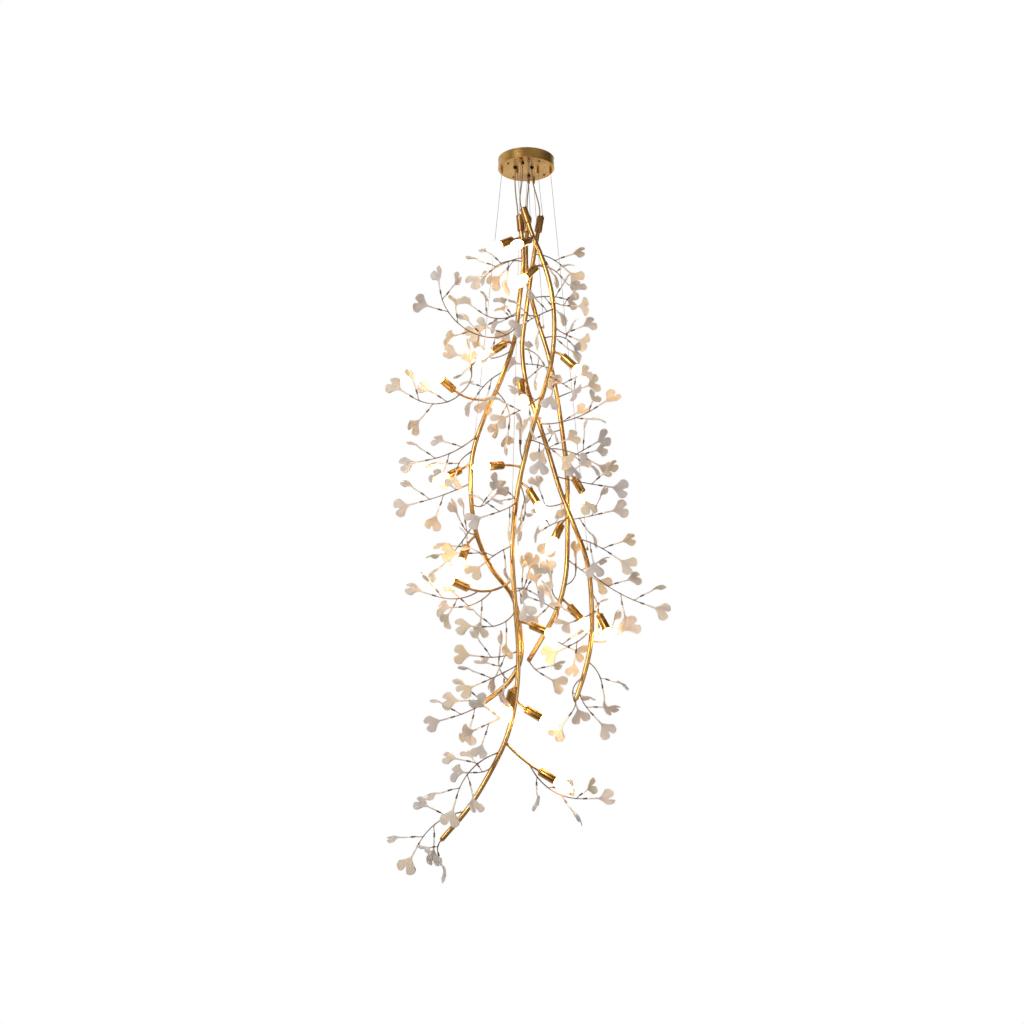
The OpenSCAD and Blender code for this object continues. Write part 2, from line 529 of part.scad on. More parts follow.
// Lamps, each drawn along +Z from its arm's end
module at_lamps(b) for (k = [0:len(lamps_of(b)) - 1]) place_at(arm_end(b, k), arm_aim(b, k)) children();
holder_r = cup_d / 2 - cup_wall - 1;
glass_bulge = glass_l * 0.43;
glass_rise = glass_l - glass_bulge;
glass_radius = (glass_rise * glass_rise + glass_d * glass_d / 4) / glass_d;
mouth_reach = glass_radius - glass_d / 2 + cup_d / 2 - cup_wall - 0.6;
glass_bottom = cup_l - glass_bulge + sqrt(max(0, glass_radius * glass_radius - mouth_reach * mouth_reach));
cap_bottom = glass_bottom - lamp_cap_l;
module lamp_cups(b) at_lamps(b) rotate_extrude($fn = 64)
    polygon([[0, 0], [cup_d / 2 - 2, 0], [cup_d / 2, 2], [cup_d / 2, cup_l],
             [cup_d / 2 - cup_wall, cup_l], [cup_d / 2 - cup_wall, 2], [0, 2]]);
module lampholders(b) at_lamps(b) translate([0, 0, 2]) difference() {
    cylinder(r = holder_r, h = holder_l, $fn = 48);
    translate([0, 0, cap_bottom - 2 - 0.1]) cylinder(d = lamp_cap_d + 0.3, h = lamp_cap_l, $fn = 48);
}
module lamp_caps(b) at_lamps(b) translate([0, 0, cap_bottom]) {
    cylinder(d1 = 6, d2 = lamp_cap_d, h = 4, $fn = 48);
    translate([0, 0, 4]) cylinder(d = lamp_cap_d, h = lamp_cap_l - 4, $fn = 48);
}
// Half outline of the candle glass: a circle's arc from the neck over the bulge to the tip
function glass_width(h, inset) =
    glass_d / 2 - glass_radius + sqrt(max(0, pow(glass_radius - inset, 2) - pow(h - glass_bulge, 2)));
function candle_half(inset, steps) =
    let(top = glass_bulge + sqrt(pow(glass_radius - inset, 2) - pow(glass_radius - glass_d / 2, 2)))
    concat([[0, inset]],
           [for (i = [0:steps - 1]) let(h = inset + (top - inset) * i / steps) [glass_width(h, inset), h]],
           [[0, top]]);
module lamp_glass(b) at_lamps(b) translate([0, 0, glass_bottom]) difference() {
    rotate_extrude($fn = 64) polygon(candle_half(0, 9));
    rotate_extrude($fn = 64) polygon(candle_half(glass_wall, 9));
}
module filaments(b) at_lamps(b) translate([0, 0, glass_bottom + glass_wall]) {
    cylinder(r1 = 4, r2 = 2, h = 14, $fn = 32);
    for (i = [0:3]) rotate(90 * i) translate([2.2, 0, 13]) cylinder(r = 0.9, h = 30, $fn = 24);
    translate([0, 0, 42.5]) cylinder(r = 3.4, h = 1, $fn = 32);
}

// Wires and cord
module wires(b) {
    round_rod(nipple_root(b) + nipple_l * short_pull(b), short_anchor(b), wire_d / 2);
    round_rod(lug_end(b) + nipple_l * long_pull(b), long_anchor(b), wire_d / 2);
}
module cord(b) swept_rod(cord_points(b), cord_d / 2, 8, 3);

ceiling_plate();
canopy_cover();
canopy_screws();
spacer_posts();
terminal_block();
wire_grips();
cord_glands();
color("goldenrod") stem(FRONT);  // front_stem
color("goldenrod") top_cap(FRONT);  // front_top_cap
color("goldenrod") lamp_arms(FRONT);  // front_lamp_arms
color("goldenrod") twigs(FRONT);  // front_twigs
color("saddlebrown") ferrules(FRONT);  // front_ferrules
color("snow") leaves(FRONT);  // front_leaves
color("goldenrod") lamp_cups(FRONT);  // front_lamp_cups
color("ivory") lampholders(FRONT);  // front_lampholders
color("silver") lamp_caps(FRONT);  // front_lamp_caps
color("lightyellow") lamp_glass(FRONT);  // front_lamp_glass
color("orange") filaments(FRONT);  // front_filaments
color("gray") wires(FRONT);  // front_wires
color("tan") cord(FRONT);  // front_cord
color("goldenrod") stem(LEFT);  // left_stem
color("goldenrod") top_cap(LEFT);  // left_top_cap
color("goldenrod") lamp_arms(LEFT);  // left_lamp_arms
color("goldenrod") twigs(LEFT);  // left_twigs
color("saddlebrown") ferrules(LEFT);  // left_ferrules
color("snow") leaves(LEFT);  // left_leaves
color("goldenrod") lamp_cups(LEFT);  // left_lamp_cups
color("ivory") lampholders(LEFT);  // left_lampholders
color("silver") lamp_caps(LEFT);  // left_lamp_caps
color("lightyellow") lamp_glass(LEFT);  // left_lamp_glass
color("orange") filaments(LEFT);  // left_filaments
color("gray") wires(LEFT);  // left_wires
color("tan") cord(LEFT);  // left_cord
color("goldenrod") stem(RIGHT);  // right_stem
color("goldenrod") top_cap(RIGHT);  // right_top_cap
color("goldenrod") lamp_arms(RIGHT);  // right_lamp_arms
color("goldenrod") twigs(RIGHT);  // right_twigs
color("saddlebrown") ferrules(RIGHT);  // right_ferrules
color("snow") leaves(RIGHT);  // right_leaves
color("goldenrod") lamp_cups(RIGHT);  // right_lamp_cups
color("ivory") lampholders(RIGHT);  // right_lampholders
color("silver") lamp_caps(RIGHT);  // right_lamp_caps
color("lightyellow") lamp_glass(RIGHT);  // right_lamp_glass
color("orange") filaments(RIGHT);  // right_filaments
color("gray") wires(RIGHT);  // right_wires
color("tan") cord(RIGHT);  // right_cord
color("goldenrod") stem(BACK);  // back_stem
color("goldenrod") top_cap(BACK);  // back_top_cap
color("goldenrod") lamp_arms(BACK);  // back_lamp_arms
color("goldenrod") twigs(BACK);  // back_twigs
color("saddlebrown") ferrules(BACK);  // back_ferrules
color("snow") leaves(BACK);  // back_leaves
color("goldenrod") lamp_cups(BACK);  // back_lamp_cups
color("ivory") lampholders(BACK);  // back_lampholders
color("silver") lamp_caps(BACK);  // back_lamp_caps
color("lightyellow") lamp_glass(BACK);  // back_lamp_glass
color("orange") filaments(BACK);  // back_filaments
color("gray") wires(BACK);  // back_wires
color("tan") cord(BACK);  // back_cord
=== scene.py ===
# Branch chandelier: four brass branches with porcelain leaves and candle lamps, hung on
# steel wires from one round ceiling canopy. Lengths are in metres, but the tables of places
# are in millimetres, as on the branches' drawing, and mm turns them into metres.
import math

import bpy
import numpy as np
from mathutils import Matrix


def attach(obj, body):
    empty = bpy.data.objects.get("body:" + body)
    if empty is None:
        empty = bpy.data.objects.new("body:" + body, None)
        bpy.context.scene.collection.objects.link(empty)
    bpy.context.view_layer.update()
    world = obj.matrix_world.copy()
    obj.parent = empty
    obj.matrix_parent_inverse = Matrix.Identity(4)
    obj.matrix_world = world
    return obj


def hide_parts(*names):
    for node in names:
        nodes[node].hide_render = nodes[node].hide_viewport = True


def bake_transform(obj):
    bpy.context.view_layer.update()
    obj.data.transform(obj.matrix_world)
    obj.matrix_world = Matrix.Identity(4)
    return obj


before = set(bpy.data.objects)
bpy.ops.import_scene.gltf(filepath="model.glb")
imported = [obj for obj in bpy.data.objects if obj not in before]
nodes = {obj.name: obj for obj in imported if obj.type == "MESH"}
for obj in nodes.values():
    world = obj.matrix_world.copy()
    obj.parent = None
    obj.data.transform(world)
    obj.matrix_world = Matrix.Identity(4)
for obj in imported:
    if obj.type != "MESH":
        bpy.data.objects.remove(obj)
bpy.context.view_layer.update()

sides = ("front", "left", "right", "back")
mm = 0.001

# Camera: it stands below the middle of the chandelier, five metres away, and looks up at it
# by thirteen degrees, which gives the photograph's view.
camera_place = (-0.051, -5.05, -2.462)
camera_tilt = 103
camera_data = bpy.data.cameras.new("camera")
camera_data.lens = 53.68
camera_data.sensor_width = 36
camera = bpy.data.objects.new("camera", camera_data)
camera.location = camera_place
camera.rotation_euler = (math.radians(camera_tilt), 0, 0)
bpy.context.collection.objects.link(camera)
scene = bpy.context.scene
scene.camera = camera
scene.view_settings.view_transform = "Standard"


# Studio: a white background, and three soft lamps at a plain level. What shines mirrors a room
# that is pale behind the object and to its left, and darker in front and to its right, so that
# brass shows its roundness.
def add_node(tree, kind, **inputs):
    """New shader node of a kind; an input is a value for a socket, or another node's output."""
    node = tree.nodes.new("ShaderNode" + kind)
    for name, value in inputs.items():
        socket = node.inputs[int(name[1:])] if name[1:].isdigit() else node.inputs[name.replace("_", " ")]
        if isinstance(value, bpy.types.NodeSocket):
            tree.links.new(value, socket)
        else:
            socket.default_value = value
    return node


def calculate(tree, operation, *terms):
    """Output of a Math node that does the operation on the terms."""
    node = add_node(tree, "Math", **{f"_{i}": term for i, term in enumerate(terms)})
    node.operation = operation
    return node.outputs[0]


def colour_ramp(tree, factor, *stops):
    """Output of a ramp through (place, colour) stops at a factor."""
    node = add_node(tree, "ValToRGB", Fac=factor)
    for i, (place, colour) in enumerate(stops):
        stop = node.color_ramp.elements[i] if i < 2 else node.color_ramp.elements.new(place)
        stop.position = place
        stop.color = (*colour, 1)
    return node.outputs["Color"]


world = bpy.data.worlds.new("studio")
scene.world = world
world.use_nodes = True
room = world.node_tree
room.nodes.clear()
white = (1, 1, 1, 1)
room_light = (1, 0.985, 0.955, 1)
room_strength = 0.42
tone_at_middle = 0.5
tone_by_depth = 0.42
tone_by_side = -0.25
direction = add_node(room, "SeparateXYZ", Vector=add_node(room, "TexCoord").outputs["Generated"])
tone = calculate(room, "MULTIPLY_ADD", direction.outputs["Y"], tone_by_depth, tone_at_middle)
tone = calculate(room, "MULTIPLY_ADD", direction.outputs["X"], tone_by_side, tone)
walls = colour_ramp(room, tone, (0.0, (0.46, 0.44, 0.42)), (0.2, (0.20, 0.19, 0.18)),
                    (0.45, (0.05, 0.045, 0.04)), (0.6, (0.30, 0.29, 0.27)), (0.8, (0.80, 0.79, 0.77)))
seen_walls = add_node(room, "Background", Color=white, Strength=1.0)
shone_walls = add_node(room, "Background", Color=walls, Strength=1.0)
lit_walls = add_node(room, "Background", Color=room_light, Strength=room_strength)
ray = add_node(room, "LightPath")
straight = calculate(room, "MAXIMUM", ray.outputs["Is Camera Ray"], ray.outputs["Is Transmission Ray"])
glossy = add_node(room, "MixShader", Fac=ray.outputs["Is Glossy Ray"], _1=lit_walls.outputs[0],
                  _2=shone_walls.outputs[0])
behind = add_node(room, "MixShader", Fac=straight, _1=glossy.outputs[0], _2=seen_walls.outputs[0])
add_node(room, "OutputWorld", Surface=behind.outputs[0])

# Name, place, power in watts and side of each studio lamp; all of them face the object's middle
studio_lamps = [("key_lamp", (-2.6, -3.8, 0.2), 118, 2.0), ("fill_lamp", (3.4, -3.0, -1.6), 30, 2.6),
                ("back_lamp", (1.2, 3.6, 0.4), 60, 2.0)]
middle_height = -1.25
for name, place, power, size in studio_lamps:
    lamp_data = bpy.data.lights.new(name, "AREA")
    lamp_data.energy = power
    lamp_data.size = size
    lamp = bpy.data.objects.new(name, lamp_data)
    lamp.location = place
    away = np.array(place) - (0, 0, middle_height)
    lamp.rotation_euler = (math.acos(away[2] / np.linalg.norm(away)), 0, math.atan2(away[0], -away[1]))
    bpy.context.collection.objects.link(lamp)

# Floor: a plain pale disc well below the lowest leaf, outside the photograph's frame. It shows
# mostly white to the camera, and keeps a trace of the object's shadow and light.
floor_z = -4.6
floor_r = 1.7
floor_sides = 96
floor_colour = (0.86, 0.86, 0.85, 1)
floor_roughness = 0.6
floor_white = 0.8
floor_turn = np.linspace(0, 2 * np.pi, floor_sides, endpoint=False)
floor_rim = np.stack([floor_r * np.cos(floor_turn), floor_r * np.sin(floor_turn),
                      np.full(floor_sides, floor_z)], 1)
floor_mesh = bpy.data.meshes.new("floor")
floor_mesh.from_pydata(floor_rim, [], [list(range(floor_sides))])
floor = bpy.data.objects.new("floor", floor_mesh)
bpy.context.collection.objects.link(floor)
floor_paint = bpy.data.materials.new("floor")
floor_paint.use_nodes = True
ground = floor_paint.node_tree
matt = ground.nodes["Principled BSDF"]
matt.inputs["Base Color"].default_value = floor_colour
matt.inputs["Roughness"].default_value = floor_roughness
seen_floor = add_node(ground, "Emission", Color=white, Strength=1.0)
seen = add_node(ground, "LightPath").outputs["Is Camera Ray"]
whiten = add_node(ground, "MixShader", Fac=calculate(ground, "MULTIPLY", seen, floor_white),
                  _1=matt.outputs[0], _2=seen_floor.outputs[0])
ground.links.new(whiten.outputs[0], ground.nodes["Material Output"].inputs["Surface"])
floor_mesh.materials.append(floor_paint)


# Power cords: each branch is fed by one cord in a braided fabric sleeve, gold and brown. It
# leaves a gland in the canopy with a little slack and goes into the branch's top cap.
def unit(v):
    """Vectors divided by their lengths."""
    v = np.asarray(v, float)
    return v / np.linalg.norm(v, axis=-1, keepdims=True)


def smooth_path(points, places):
    """Points at places (span number plus share) of the smooth curve through points. Each span
    is a cubic whose end directions halve the corner there and weigh as much as its length."""
    p = np.asarray(points, float)
    steps = np.diff(p, axis=0)
    d = unit(steps)
    t = unit(np.vstack([d[:1], d[1:] + d[:-1], d[-1:]]))
    i = np.minimum(places.astype(int), len(p) - 2)
    f = (places - i)[:, None]
    g = 1 - f
    length = np.linalg.norm(steps, axis=1)[i][:, None]
    return ((1 + 2 * f) * g**2 * p[i] + f * g**2 * length * t[i]
            + f**2 * (3 - 2 * f) * p[i + 1] - f**2 * g * length * t[i + 1])


def crosswise(way, hint):
    """Two directions square to each way and to each other, the second as near the hint as may be."""
    way, hint = np.broadcast_arrays(np.asarray(way, float), np.asarray(hint, float))
    hint = np.where(np.abs((way * hint).sum(-1, keepdims=True)) > 0.95, [1.0, 0, 0], hint)
    up = unit(hint - (hint * way).sum(-1, keepdims=True) * way)
    return np.cross(up, way), up


def tube(path, radius, count, hint=(0, 1, 0)):
    """Rings round a path, as a grid of points: each point is the path's plus radius times the
    cosine and sine of its turn along two crosswise directions. Returns points and grain,
    which is the same tube pulled straight along Z."""
    path = np.asarray(path, float)
    ways = unit(np.gradient(path, axis=0))
    across, up = crosswise(ways, hint)
    turn = np.linspace(0, 2 * np.pi, count, endpoint=False)
    radius = np.broadcast_to(radius, len(path))[:, None]
    x, y = radius * np.cos(turn), radius * np.sin(turn)
    points = path[:, None] + x[..., None] * across[:, None] + y[..., None] * up[:, None]
    along = np.concatenate([[0], np.cumsum(np.linalg.norm(np.diff(path, axis=0), axis=1))])
    return points, np.stack([x, y, np.broadcast_to(along[:, None], x.shape)], -1)


def add_piece(name, grids, material, body):
    """One mesh from grids of (points, grain): neighbours in a grid make faces, each row closes
    on itself, and its first and last rows are capped."""
    points, grain, quads, caps, start = [], [], [], [], 0
    for place, straight_place in grids:
        rows, columns = place.shape[:2]
        number = start + np.arange(rows * columns).reshape(rows, columns)
        beside = np.roll(number, -1, 1)
        quads.append(np.stack([number[:-1], beside[:-1], beside[1:], number[1:]], -1).reshape(-1, 4))
        caps += [number[0, ::-1].tolist(), number[-1].tolist()]
        points.append(place.reshape(-1, 3))
        grain.append(straight_place.reshape(-1, 3))
        start += rows * columns
    mesh = bpy.data.meshes.new(name)
    mesh.from_pydata(np.vstack(points), [], np.vstack(quads).tolist() + caps)
    straight = mesh.attributes.new("grain", "FLOAT_VECTOR", "POINT")
    straight.data.foreach_set("vector", np.vstack(grain).ravel())
    mesh.shade_smooth()
    mesh.materials.append(material)
    piece = bpy.data.objects.new(name, mesh)
    bpy.context.collection.objects.link(piece)
    if body:
        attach(piece, body)
    return piece


def finish(name, colour, roughness, metal=0.0):
    """New material with a Principled shader of one colour, roughness and metalness."""
    material = bpy.data.materials.new(name)
    material.use_nodes = True
    shader = material.node_tree.nodes["Principled BSDF"]
    shader.inputs["Base Color"].default_value = (*colour, 1)
    shader.inputs["Roughness"].default_value = roughness
    shader.inputs["Metallic"].default_value = metal
    return material, material.node_tree, shader


def grain_of(tree):
    """The piece's own place on its straightened shape."""
    node = add_node(tree, "Attribute")
    node.attribute_name = "grain"
    return node.outputs["Vector"]


def noise(tree, place, scale, detail=3.0):
    """Output of a noise of a scale at a place."""
    return add_node(tree, "TexNoise", Vector=place, Scale=scale, Detail=detail).outputs["Fac"]


def object_noise(tree, scale, detail=3.0):
    """Output of a noise of a scale on Object coordinates."""
    return noise(tree, add_node(tree, "TexCoord").outputs["Object"], scale, detail)


def paint(tree, shader, factor, *stops):
    """Colours the shader by a ramp through (place, colour) stops at a factor."""
    tree.links.new(colour_ramp(tree, factor, *stops), shader.inputs["Base Color"])


def roughen(tree, shader, factor, low, high):
    """Lets the shader's roughness run from low to high with a factor."""
    tree.links.new(calculate(tree, "MULTIPLY_ADD", factor, high - low, low), shader.inputs["Roughness"])


def bump(tree, shader, height, depth):
    """Lets the shader's normal follow a height, depth metres deep."""
    node = add_node(tree, "Bump", Height=height, Strength=1.0, Distance=depth)
    tree.links.new(node.outputs["Normal"], shader.inputs["Normal"])


# Points on each stem's middle line, from its top cap down, and on each cord from its gland
stem_points = {
    "front": [[0, -70, -255], [15, -70, -305], [50, -70, -395], [85, -70, -525], [95, -70, -660],
        [80, -68, -805], [40, -68, -945], [0, -68, -1090], [-35, -64, -1260], [-50, -64, -1445],
        [-40, -64, -1630], [-30, -64, -1795], [-40, -68, -1940], [-70, -73, -2065], [-120, -73, -2170],
        [-190, -78, -2285], [-275, -78, -2385]],
    "left": [[-20, -5, -255], [-15, 0, -310], [-10, 0, -390], [-25, 0, -535], [-40, 0, -670],
        [-90, -5, -830], [-145, -5, -960], [-185, -5, -1095], [-190, -5, -1240], [-170, 0, -1375],
        [-120, 5, -1490], [-50, 5, -1585], [-25, 10, -1690], [-25, 10, -1805], [-65, 15, -1875],
        [-145, 20, -1940]],
    "right": [[45, 5, -255], [35, 5, -315], [20, 10, -410], [0, 10, -565], [-15, 15, -705],
        [0, 15, -840], [35, 10, -955], [75, 10, -1085], [115, 5, -1225], [160, 0, -1345],
        [200, 0, -1460], [215, 0, -1600], [210, 0, -1750], [190, 0, -1840], [160, -5, -1930]],
    "back": [[5, 68, -230], [0, 68, -300], [5, 66, -430], [35, 66, -570], [75, 66, -705],
        [105, 68, -855], [125, 71, -1000], [140, 71, -1160], [140, 71, -1340], [130, 66, -1515],
        [100, 61, -1625], [55, 56, -1710], [5, 51, -1795]]}
cord_routes = {
    "front": [[-14, -52, -38], [-14, -52, -58], [-15, -46, -95], [-20, -60, -145], [-23, -68, -182]],
    "left": [[-40, -15, -38], [-40, -15, -58], [-40, -14, -100], [-37, -12, -145], [-33, -10, -180]],
    "right": [[20, -15, -38], [20, -15, -58], [24, -12, -95], [36, -3, -140], [45, 4, -175]],
    "back": [[9, 52, -38], [9, 52, -58], [8, 44, -88], [4, 58, -125], [3, 66, -155]]}
top_cap_reach = 38 * mm
cord_offset = -6 * mm
cord_lead = 14 * mm
cord_d = 4.5 * mm
cord_rings = 55
braid_strands = 6.0
braid_pitch = 2200.0
braid_depth = 0.0003


def cap_frame(side):
    """Base point, axis and crosswise direction of a branch's top cap."""
    p = np.array(stem_points[side][:2]) * mm
    axis = unit(p[0] - p[1])
    return p[0], axis, unit(np.cross([0, 1, 0], axis))


def cap_top(side, offset):
    """Point on a top cap's upper face, offset from its middle."""
    foot, axis, aside = cap_frame(side)
    return foot + top_cap_reach * axis + offset * aside


cord_fabric, tree, shader = finish("cord_fabric", (0.36, 0.20, 0.07), 0.75)
place = add_node(tree, "SeparateXYZ", Vector=grain_of(tree))
turn = calculate(tree, "ARCTAN2", place.outputs["Y"], place.outputs["X"])
pitch = calculate(tree, "MULTIPLY", place.outputs["Z"], braid_pitch)
wound = [calculate(tree, "MULTIPLY_ADD", turn, hand * braid_strands, pitch) for hand in (1, -1)]
weave = calculate(tree, "MAXIMUM", *(calculate(tree, "SINE", strand) for strand in wound))
paint(tree, shader, weave, (0.0, (0.10, 0.05, 0.02)), (1.0, (0.55, 0.33, 0.12)))
bump(tree, shader, weave, braid_depth)
shader.inputs["Sheen Weight"].default_value = 0.3
for side in sides:
    top = cap_top(side, cord_offset)
    lead = top + cord_lead * cap_frame(side)[1]
    route = np.vstack([np.array(cord_routes[side]) * mm, lead, top])
    path = smooth_path(route, np.linspace(0, len(route) - 1, cord_rings))
    cord = add_piece(side + "_power_cord", [tube(path, cord_d / 2, count=16)], cord_fabric, None)
    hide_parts(side + "_cord")
    length = np.linalg.norm(np.diff(path, axis=0), axis=1).sum()
    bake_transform(cord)


# Main stems: brass tubes of 16 mm, each bent to a long S, satin-brushed lengthwise and
# lacquered. Short sleeves brazed to them take the lamp arms and the twigs.
stem_r = 8 * mm
arm_r = 4 * mm
arm_knuckle = 6 * mm
twig_knuckle = 5 * mm
knuckle_wall = 1.2 * mm
knuckle_slant = 0.55
twig_r = 1.8 * mm
rings_in_span = 16
lug_stand = 6 * mm
lug_r = 2.4 * mm
round_hint = (0.3, 0.2, 0.9)
brush_across = 1500
brush_depth = 0.00004
brush_spread = 0.11
# Lamps of each branch: place of the arm on the stem, foot of the cup, and aim of the lamp
lamp_plan = {
    "front": [[1.2, [8, -98, -351], [-5, -7, -5]], [2.3, [32, -86, -446], [-6, -3, -7]],
        [4.6, [122, -88, -770], [7, -1, -7]], [7.4, [-81, -64, -1149], [-8, -5, -2]],
        [7.7, [6, -76, -1236], [5, -2, -9]], [9.5, [-196, -76, -1572], [-8, -4, 3]],
        [10.3, [11, -70, -1694], [8, -3, -4]], [11.7, [-51, -90, -1912], [-2, -3, -9]],
        [12, [-6, -72, -1969], [8, -1, -5]], [13.1, [39, -62, -2169], [8, -2, -5]]],
    "left": [[0.8, [-51, -20, -317], [-7, -5, -5]], [4.15, [-75, -24, -702], [-8, -2, -6]],
        [5.5, [-251, -12, -867], [-6, -5, 4]], [7.2, [-228, -16, -1153], [-7, -5, -5]],
        [9, [-203, -8, -1416], [-3, -4, -9]]],
    "right": [[4.9, [-20, -20, -844], [1, -3, -9]], [8.7, [115, -14, -1344], [-4, -3, -9]],
        [11.25, [241, -10, -1651], [4, -3, -9]]],
    "back": [[6.9, [165, 86, -1156], [5, 5, -7]], [9.6, [144, 76, -1606], [6, 0, -7]]]}
# Twigs: place on the stem, or [lamp arm, share of it]; a point halfway; the tip; and the turn of
# the leaves about the twig, in degrees
twig_plan = {
    "front": [[2.3, [85, -80, -450], [115, -95, -480], 30],
        [3.3, [115, -95, -585], [140, -120, -600], 80], [3.5, [45, -128, -635], [5, -178, -675], 90],
        [4, [120, -78, -680], [145, -93, -700], 100], [5.2, [105, -108, -865], [130, -148, -895], 120],
        [5.7, [10, -118, -950], [-40, -168, -995], 70],
        [6.8, [45, -108, -1085], [85, -148, -1120], 110],
        [7.3, [-20, -85, -1115], [-25, -105, -1085], 90],
        [7.7, [-10, -25, -1260], [-10, 20, -1310], 80],
        [8.1, [-62, -108, -1305], [-110, -148, -1335], 80],
        [8.4, [-40, -95, -1295], [-55, -130, -1265], -80],
        [8.9, [-90, -103, -1455], [-125, -133, -1485], 60],
        [9.7, [-20, -113, -1580], [5, -158, -1595], 90],
        [10.1, [-80, -85, -1685], [-135, -105, -1705], 75],
        [10.9, [-90, -93, -1800], [-140, -113, -1805], 100],
        [11.2, [-80, -98, -1855], [-135, -128, -1885], 60],
        [12.3, [-95, -103, -2005], [-140, -143, -2030], -80],
        [13.4, [-170, -93, -2160], [-225, -113, -2245], 70],
        [13.7, [-130, -40, -2160], [-165, -10, -2170], 80],
        [15.1, [-280, -83, -2330], [-345, -93, -2395], 80],
        [16, [-284, -88, -2402], [-285, -103, -2425], 90],
        [[5, 0.75], [-235, -96, -1608], [-300, -113, -1605], 60],
        [[5, 0.45], [-165, -65, -1615], [-215, -50, -1630], 80],
        [[9, 0.7], [65, -53, -2215], [178, -38, -2255], 140]],
    "left": [[1.8, [-70, -40, -410], [-120, -60, -445], 80],
        [3.3, [-95, 50, -580], [-160, 80, -550], 60], [3.7, [-170, -85, -680], [-295, -115, -555], 65],
        [4.3, [-120, 45, -730], [-190, 60, -725], -100], [4.8, [-130, 50, -815], [-165, 90, -840], 90],
        [5.3, [-70, 0, -925], [-60, 5, -990], 100], [6.5, [-255, 10, -1080], [-335, 10, -1110], 80],
        [6.9, [-215, -30, -1115], [-235, -60, -1155], 40],
        [7.7, [-255, 35, -1215], [-355, 55, -1245], 100],
        [8.2, [-165, 15, -1270], [-140, 30, -1260], 60],
        [8.7, [-215, 20, -1385], [-265, 40, -1445], 60],
        [9, [-195, -20, -1370], [-215, -40, -1355], 90],
        [9.8, [-170, 30, -1430], [-220, 55, -1405], 40],
        [10.8, [-30, 10, -1560], [-5, 10, -1540], 100],
        [13.9, [-85, 30, -1835], [-95, 45, -1795], -100],
        [14.3, [-135, 40, -1920], [-180, 50, -1930], 85],
        [15, [-190, 25, -1965], [-240, 20, -1985], 70],
        [[2, 0.8], [-300, -20, -915], [-390, -30, -900], 95],
        [[2, 0.82], [-200, -15, -840], [-190, -30, -795], 100]],
    "right": [[1.5, [75, 45, -355], [120, 60, -375], 80], [4, [25, 0, -730], [55, -10, -765], -100],
        [6.2, [130, -40, -985], [230, -50, -945], 140],
        [6.9, [140, -40, -1095], [200, -45, -1120], 120],
        [7.6, [170, -45, -1200], [240, -52, -1215], 95], [8.3, [85, 35, -1265], [50, 70, -1250], 100],
        [8.8, [190, 45, -1305], [245, 60, -1290], 80],
        [9.4, [230, -40, -1420], [270, -50, -1445], 100],
        [10.3, [290, 10, -1560], [380, 15, -1605], 65],
        [10.8, [230, 25, -1595], [240, 55, -1620], 100],
        [11.3, [185, -40, -1665], [160, -75, -1680], 60],
        [11.6, [185, -20, -1725], [145, -35, -1755], -80],
        [11.9, [255, 10, -1735], [285, 15, -1725], 90],
        [12.6, [230, -20, -1845], [245, -30, -1885], 80],
        [13.2, [160, 30, -1885], [155, 65, -1920], 40], [13.7, [185, 20, -1935], [210, 35, -1970], 70],
        [14, [155, -10, -1955], [145, -10, -1975], 90]],
    "back": [[1.5, [-55, 71, -360], [-105, 101, -365], 90],
        [2.5, [65, 81, -490], [120, 121, -478], 80], [3, [-20, 96, -555], [-65, 136, -550], 90],
        [3.6, [115, 86, -640], [150, 121, -640], 100], [4.4, [50, 106, -740], [5, 146, -720], 80],
        [5.1, [145, 96, -845], [185, 126, -820], 95], [5.9, [85, 111, -985], [50, 156, -985], 85],
        [6.6, [175, 101, -1065], [215, 126, -1035], 90],
        [6.9, [140, 100, -1175], [135, 125, -1205], -100],
        [7.8, [100, 111, -1310], [70, 156, -1315], 90], [8.6, [170, 96, -1465], [205, 121, -1485], 80],
        [9.2, [155, 100, -1510], [170, 130, -1470], 80], [9.7, [95, 80, -1570], [85, 95, -1540], 120],
        [10, [70, 96, -1600], [35, 141, -1575], 95], [10.6, [95, 40, -1650], [100, 20, -1620], 60],
        [10.9, [100, 76, -1725], [135, 106, -1740], 80], [12, [20, 61, -1815], [45, 76, -1835], 90]]}
# Wires: their depth, x of the short one and of the long one, place of the long one's lug on the
# stem, and way the lug points. All of them leave their grips at the height grip_mouth
grip_mouth = -49
wire_plan = {
    "front": [-84, 8, -20, 9.2, [-0.4, -1, 0]],
    "left": [-2, -32, -87, 6.6, [-0.5, -1, 0]],
    "right": [1, 42, 87, 9.7, [1, 0, 0]],
    "back": [84, 10, 28, 3.3, [1, 0, 0]]}


def on_stem(side, place):
    """Point and direction of a stem at a place: span number plus share."""
    points = np.array(stem_points[side]) * mm
    near = np.clip([place, place - 0.01, place + 0.01], 0, len(points) - 1)
    here, before, after = smooth_path(points, near)
    return here, unit(after - before)


def arc(a, t, b, f):
    """Points, directions and length of the circular arc that leaves a along t and ends at b, at
    shares f of it: it turns by twice the angle between t and its chord."""
    chord = b - a
    aside = unit(chord - (t @ chord) * t)
    bow = math.atan2(np.linalg.norm(np.cross(t, chord)), t @ chord)
    radius = np.linalg.norm(chord) / (2 * math.sin(bow))
    turn = 2 * bow * np.atleast_1d(f)[:, None]
    points = a + radius * (np.sin(turn) * t + (1 - np.cos(turn)) * aside)
    return points, np.cos(turn) * t + np.sin(turn) * aside, 2 * radius * bow


